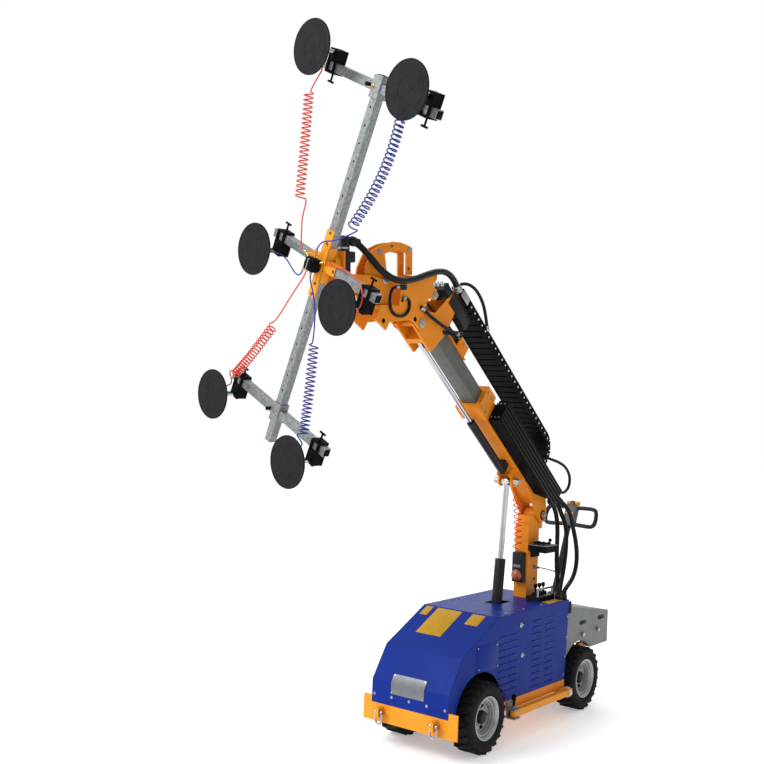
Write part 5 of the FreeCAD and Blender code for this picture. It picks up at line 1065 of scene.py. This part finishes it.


# A dark disc of painted shade stands in the column's hole.
hole_shades("column_hole_shade", [((53, 1060, 945), LEFT, 11)], "chassis")

# %% [markdown]
# ## Pins of the boom and the wrist
# Every pivot ends in a pin head or a washer with a bolt. They sit on the outer faces of the cheeks and
# ears, on both sides, and ride the body that holds the pin.


# %% Pin heads, and painted shade in the open holes
def pin_heads(name, spots, body, place, material=STEEL):
    """Pin heads at (along, up, outer face, radius) on both sides of a frame."""
    shop = Workshop(place)
    for along, up, face, radius in spots:
        head = [(-2, radius), (4, radius), (6, radius * 0.88), (6, radius * 0.5), (9, radius * 0.46), (9, 0)]
        for sign in BOTH:
            shop.turned((sign * face, along, up), (sign, 0, 0), head, 28)
    shop.piece(name, material, body)


def both_sides(face, spots):
    """(place, facing) pairs on the two outer faces of a frame, at (along, up) spots."""
    return [((sign * face, along, up), (sign, 0, 0)) for sign in BOTH for along, up in spots]


pin_heads("boom_pivot_washers", [(0, 0, 75, 36)], "boom", BOOM, BLACK)
bolts("boom_pivot_bolts", both_sides(83, [(0, 0)]), 16, "boom", place=BOOM)
lift_pins = Workshop(BOOM)
for spot, way in both_sides(66, [(-462, -42)]):
    lift_pins.turned(spot, way, [(-4, 24), (16, 24), (20, 20), (30, 20), (34, 15), (34, 0)], 28)
lift_pins.piece("lift_pin_heads", STEEL, "boom")
pin_heads("yoke_pins", [(134, 173, 90, 24), (0, 0, 90, 29)], "wrist", YOKE)
bolts("yoke_bolts", both_sides(90, [(-166, 215)]), 11, "wrist", place=YOKE)
pin_heads("arch_pins", [(-30, 407, 42, 17), (213, 435, 42, 17), (-5, 243, 64, 25)], "swing", SWING)
# Dark discs of painted shade stand in the holes of the yoke and the arch.
hole_shades("yoke_hole_shades", [((sign * 90, y, z), (sign, 0, 0), radius) for sign in BOTH
                       for y, z, radius in ((-382, 2, 15), (-72, 20, 15), (-200, 130, 13))], "wrist", YOKE)
hole_shades("arch_hole_shades", [(*pair, 7) for pair in both_sides(42, [(66, 446), (206, 322)])], "swing", SWING)

# %% [markdown]
# ## Hose ends and fittings
# Each hydraulic hose ends in a crimped sleeve, black or bright, and each air hose in a brass push-in
# fitting. One turned profile, scaled by the hose, stands at the ends and looks along its first run.

# %% Crimped sleeves and push-in fittings
CRIMP = [(0, 0.60), (0.2, 0.72), (0.8, 0.72), (0.9, 0.60), (1.5, 0.61), (1.6, 0.52)]


def head_of(route):
    return route[0], route[1]


def tail_of(route):
    return route[-1], route[-2]


def sleeves(name, ends, diameter, material, body, slot=None):
    """Turned sleeves on hoses, at (end, next point) pairs in millimetres."""
    shop = Workshop()
    for end, inward in ends:
        run = Vector(inward) - Vector(end)
        shop.turned(end, run, [(reach * diameter, radius * diameter) for reach, radius in CRIMP], 20)
    shop.piece(name, material, body, slot)


sleeves("mast_sleeves_low", [tail_of(route) for route in MAST_ROUTES], 33, BLACK, "chassis")
sleeves("mast_sleeves_high", [head_of(route) for route in MAST_ROUTES], 33, BLACK, "boom")
sleeves("wrist_sleeve_front", [head_of(BIG_FRONT)], 40, BLACK, "swing")
sleeves("wrist_sleeve_back", [tail_of(BIG_BACK)], 40, STEEL, "telescope")
sleeves("loop_sleeves", [head_of(LOOP), tail_of(LOOP)], 18, STEEL, "wrist")
sleeves("chain_sleeves", [head_of(CHAIN_END), tail_of(CHAIN_END), tail_of(YOKE_SIDE)], 22, STEEL, "telescope")
sleeves("yoke_side_sleeve", [head_of(YOKE_SIDE)], 22, STEEL, "wrist")
block_ends = [tail_of(after) for *_, after in COILS] + [tail_of(route) for *_, route in PLAIN]
sleeves("vacuum_fittings", block_ends, 13, BRASS, "pad_frame", "black_plastic")

# %% [markdown]
# ## Where the wrist hoses go in
# A hose doesn't end in the air. The small loop screws into an adaptor on a boss of the yoke, and the side
# hose ends in a clip block on a strap of the boom head. Boxes and turned pipes on the plates' faces do both.

# %% Loop port and hose clip
port = Workshop()
port.box((88, -716, 2842), (112, -684, 2868), 3)
port.turned(LOOP[0], (0, 1, 0), [(-4, 8), (14, 8), (14, 11), (36, 11)], 12)
port.piece("loop_port", BLACK, "wrist")
clip = Workshop()
clip.box((69, -238, 2612), (75.5, -80, 2638), 2)
clip.box((74, -106, 2600), (117, -80, 2644), 4)
clip.piece("hose_clip", BLACK, "telescope")

# %% [markdown]
# ## Boom head and boom cover
# On the boom head sit a hose manifold with two rows of screwed fittings, and side plates that hold the
# end of the chain. The boom cover is ribbed along its length, and a hose makes a loop behind it. The ribs
# are few and straight, so they are boxed one by one.

# %% Manifold and chain bracket on the boom head
manifold = Workshop(BOOM)
manifold.box((-68, -1985, 332), (68, -1888, 392), 5)
for sign in (1, -1):
    manifold.box((sign * 69.5, -1896, 300), (sign * 75, -1640, 404), 2)
manifold.piece("head_manifold", BLACK, "telescope")
fittings = Workshop(BOOM)
for x in (-42, -14, 14, 42):
    fittings.turned((x, -1983, 364), (0, -1, 0.3), [(0, 13), (12, 13), (14, 9), (30, 9), (30, 6)], 6)
    fittings.turned((x, -1946, 390), (0, -0.3, 1), [(0, 13), (12, 13), (14, 9), (26, 9), (26, 6)], 6)
fittings.box((89.5, -1848, 412), (93.5, -1752, 468), 1)
fittings.piece("head_fittings", STEEL, "telescope")

# %% Boom cover ribs, collar bolts and a loop of hose
RIB_FRONT, RIB_BACK = -1032, -28
cover_ribs = Workshop(BOOM)
for z in (64, 94, 124, 154, 184):
    cover_ribs.box((164, RIB_FRONT, z - 4), (168, RIB_BACK, z + 4), 1.5)
for x in (96, 120, 144):
    cover_ribs.box((x - 4, RIB_FRONT, 214), (x + 4, RIB_BACK, 218), 1.5)
cover_ribs.piece("cover_ribs", BLACK, "boom", "black_plastic")
cover_spots = [((x, -1040, z), AHEAD) for x in (92, 120, 148) for z in (70, 185)]
bolts("cover_bolts", cover_spots, 5, "boom", place=BOOM)
collar_spots = [(y, z) for y in (-1182, -1126) for z in (40, 160)]
bolts("collar_bolts", both_sides(95, collar_spots), 9, "boom", place=BOOM)
LOOP_BACK = [(70, -262, 330), (92, -210, 352), (122, -130, 384), (132, -40, 408), (132, 58, 396),
             (132, 98, 326), (132, 62, 246), (130, -8, 208), (128, -70, 196)]
hose("boom_loop_hose", [BOOM @ point for point in metres(LOOP_BACK)], 0.022, HOSE, ("boom",),
     "mast_hoses")

# %% [markdown]
# ## Pad frame fittings
# The square arms end in black plugs, spring pins with brass sleeves lock the arms to the beam, and the
# hub's straps are bolted. The motor that turns the frame sits behind the hub.

# %% Hub straps and vacuum block
HUB_WALL, HUB_HALF, SLEEVE, STRAP, HUB_TIP = 25.2, 32, 105, 200, 130
hub_shell = Workshop(PADS)
hub_shell.box((-HUB_HALF, -HUB_HALF, -STRAP), (HUB_HALF, -HUB_WALL, STRAP), 2)
hub_shell.box((-HUB_HALF, HUB_WALL, -SLEEVE), (HUB_HALF, HUB_HALF, SLEEVE), 2)
for sign in BOTH:
    wall, half, tip = sign * HUB_WALL, sign * HUB_HALF, sign * HUB_TIP
    hub_shell.box((wall, -HUB_HALF, -SLEEVE), (half, HUB_HALF, SLEEVE), 2)
    hub_shell.box((wall, -HUB_HALF, wall), (tip, HUB_HALF, half), 2)
    hub_shell.box((wall, -HUB_HALF, -wall), (tip, HUB_HALF, -half), 2)
    hub_shell.box((wall, -HUB_HALF, -HUB_HALF), (tip, -HUB_WALL, HUB_HALF), 2)
    hub_shell.box((wall, HUB_WALL, -HUB_HALF), (tip, HUB_HALF, HUB_HALF), 2)
hub_shell.turned((0, 30, 0), (0, 1, 0), [(0, 60), (36, 60), (38, 58), (38, 46), (52, 46), (52, 0)], 48)
# The hub straps take the lighter copy of the orange, which is painted light.
hub_shell.piece("hub_straps", LIT_ORANGE_PAINT, "pad_frame", nodes=["hub_bracket"])
BLOCK_LOW, BLOCK_HIGH = (-70, -98, -58), (14, -31, 20)
block = Workshop(PADS).box(BLOCK_LOW, BLOCK_HIGH, 15)
block.turned((-28, -96, -19), AHEAD, [(0, 32), (6, 31), (9, 27), (9, 0)], 32)
block.piece("vacuum_body", PLASTIC, "pad_frame", nodes=["vacuum_block"])
block_middle = PADS @ Vector([(low + high) / 2 * MM for low, high in zip(BLOCK_LOW, BLOCK_HIGH)]) / MM
stems = Workshop()
for end, _ in block_ends:
    stems.rod(end, Vector(end).lerp(block_middle, 0.65), 6, 16)
stems.piece("vacuum_stems", BRASS, "pad_frame", "black_plastic")
Workshop(PADS).box((-32, -106.5, -52), (-25, -96, 14), 1).piece("vacuum_band", STEEL, "pad_frame")

# %% Plugs, spring pins and hub bolts
PLUG_HALF = 20.5
plugs = Workshop(PADS)
for arm_z, *_ in ROWS.values():
    for sign in BOTH:
        plugs.box((sign * 480, -PLUG_HALF, arm_z - PLUG_HALF), (sign * 489, PLUG_HALF, arm_z + PLUG_HALF), 2)
for end, sign in ((1073, 1), (-1138, -1)):
    plugs.box((-PLUG_HALF, -PLUG_HALF, end - sign * 8), (PLUG_HALF, PLUG_HALF, end + sign * 2), 2)
plugs.piece("tube_plugs", PLASTIC, "pad_frame")
PIN_KNOB = [(0, 11), (3, 11), (4, 8), (14, 8), (16, 12), (24, 12), (26, 0)]
spring_pins, rings = Workshop(PADS), Workshop(PADS)
for z in (ROWS["upper"][0], ROWS["lower"][0]):
    spring_pins.turned((-50, -34, z), AHEAD, PIN_KNOB, 20)
    rings.turned((-18, -34, z), AHEAD, [(0, 10), (4, 10), (5, 6), (12, 6), (12, 0)], 20)
spring_pins.piece("spring_pins", PLASTIC, "pad_frame")
rings.piece("pin_sleeves", BRASS, "pad_frame", "galvanised")
hub_spots = [((x, -HUB_HALF, z), AHEAD) for x, z in (
    (0, -184), (0, -120), (0, 120), (0, 184), (-116, 0), (116, 0))]
bolts("hub_bolts", hub_spots, 7, "pad_frame", material=PLATE, place=PADS)
Workshop(SWING).turned((0, -281, 404), UP, [(0, 36), (0, 41), (11, 41), (11, 36)], 40).piece(
    "motor_band", STEEL, "swing")
Workshop(SWING).box((-52, -333, 330), (52, -229, 392), 6).piece("motor_ports", BLACK, "swing")
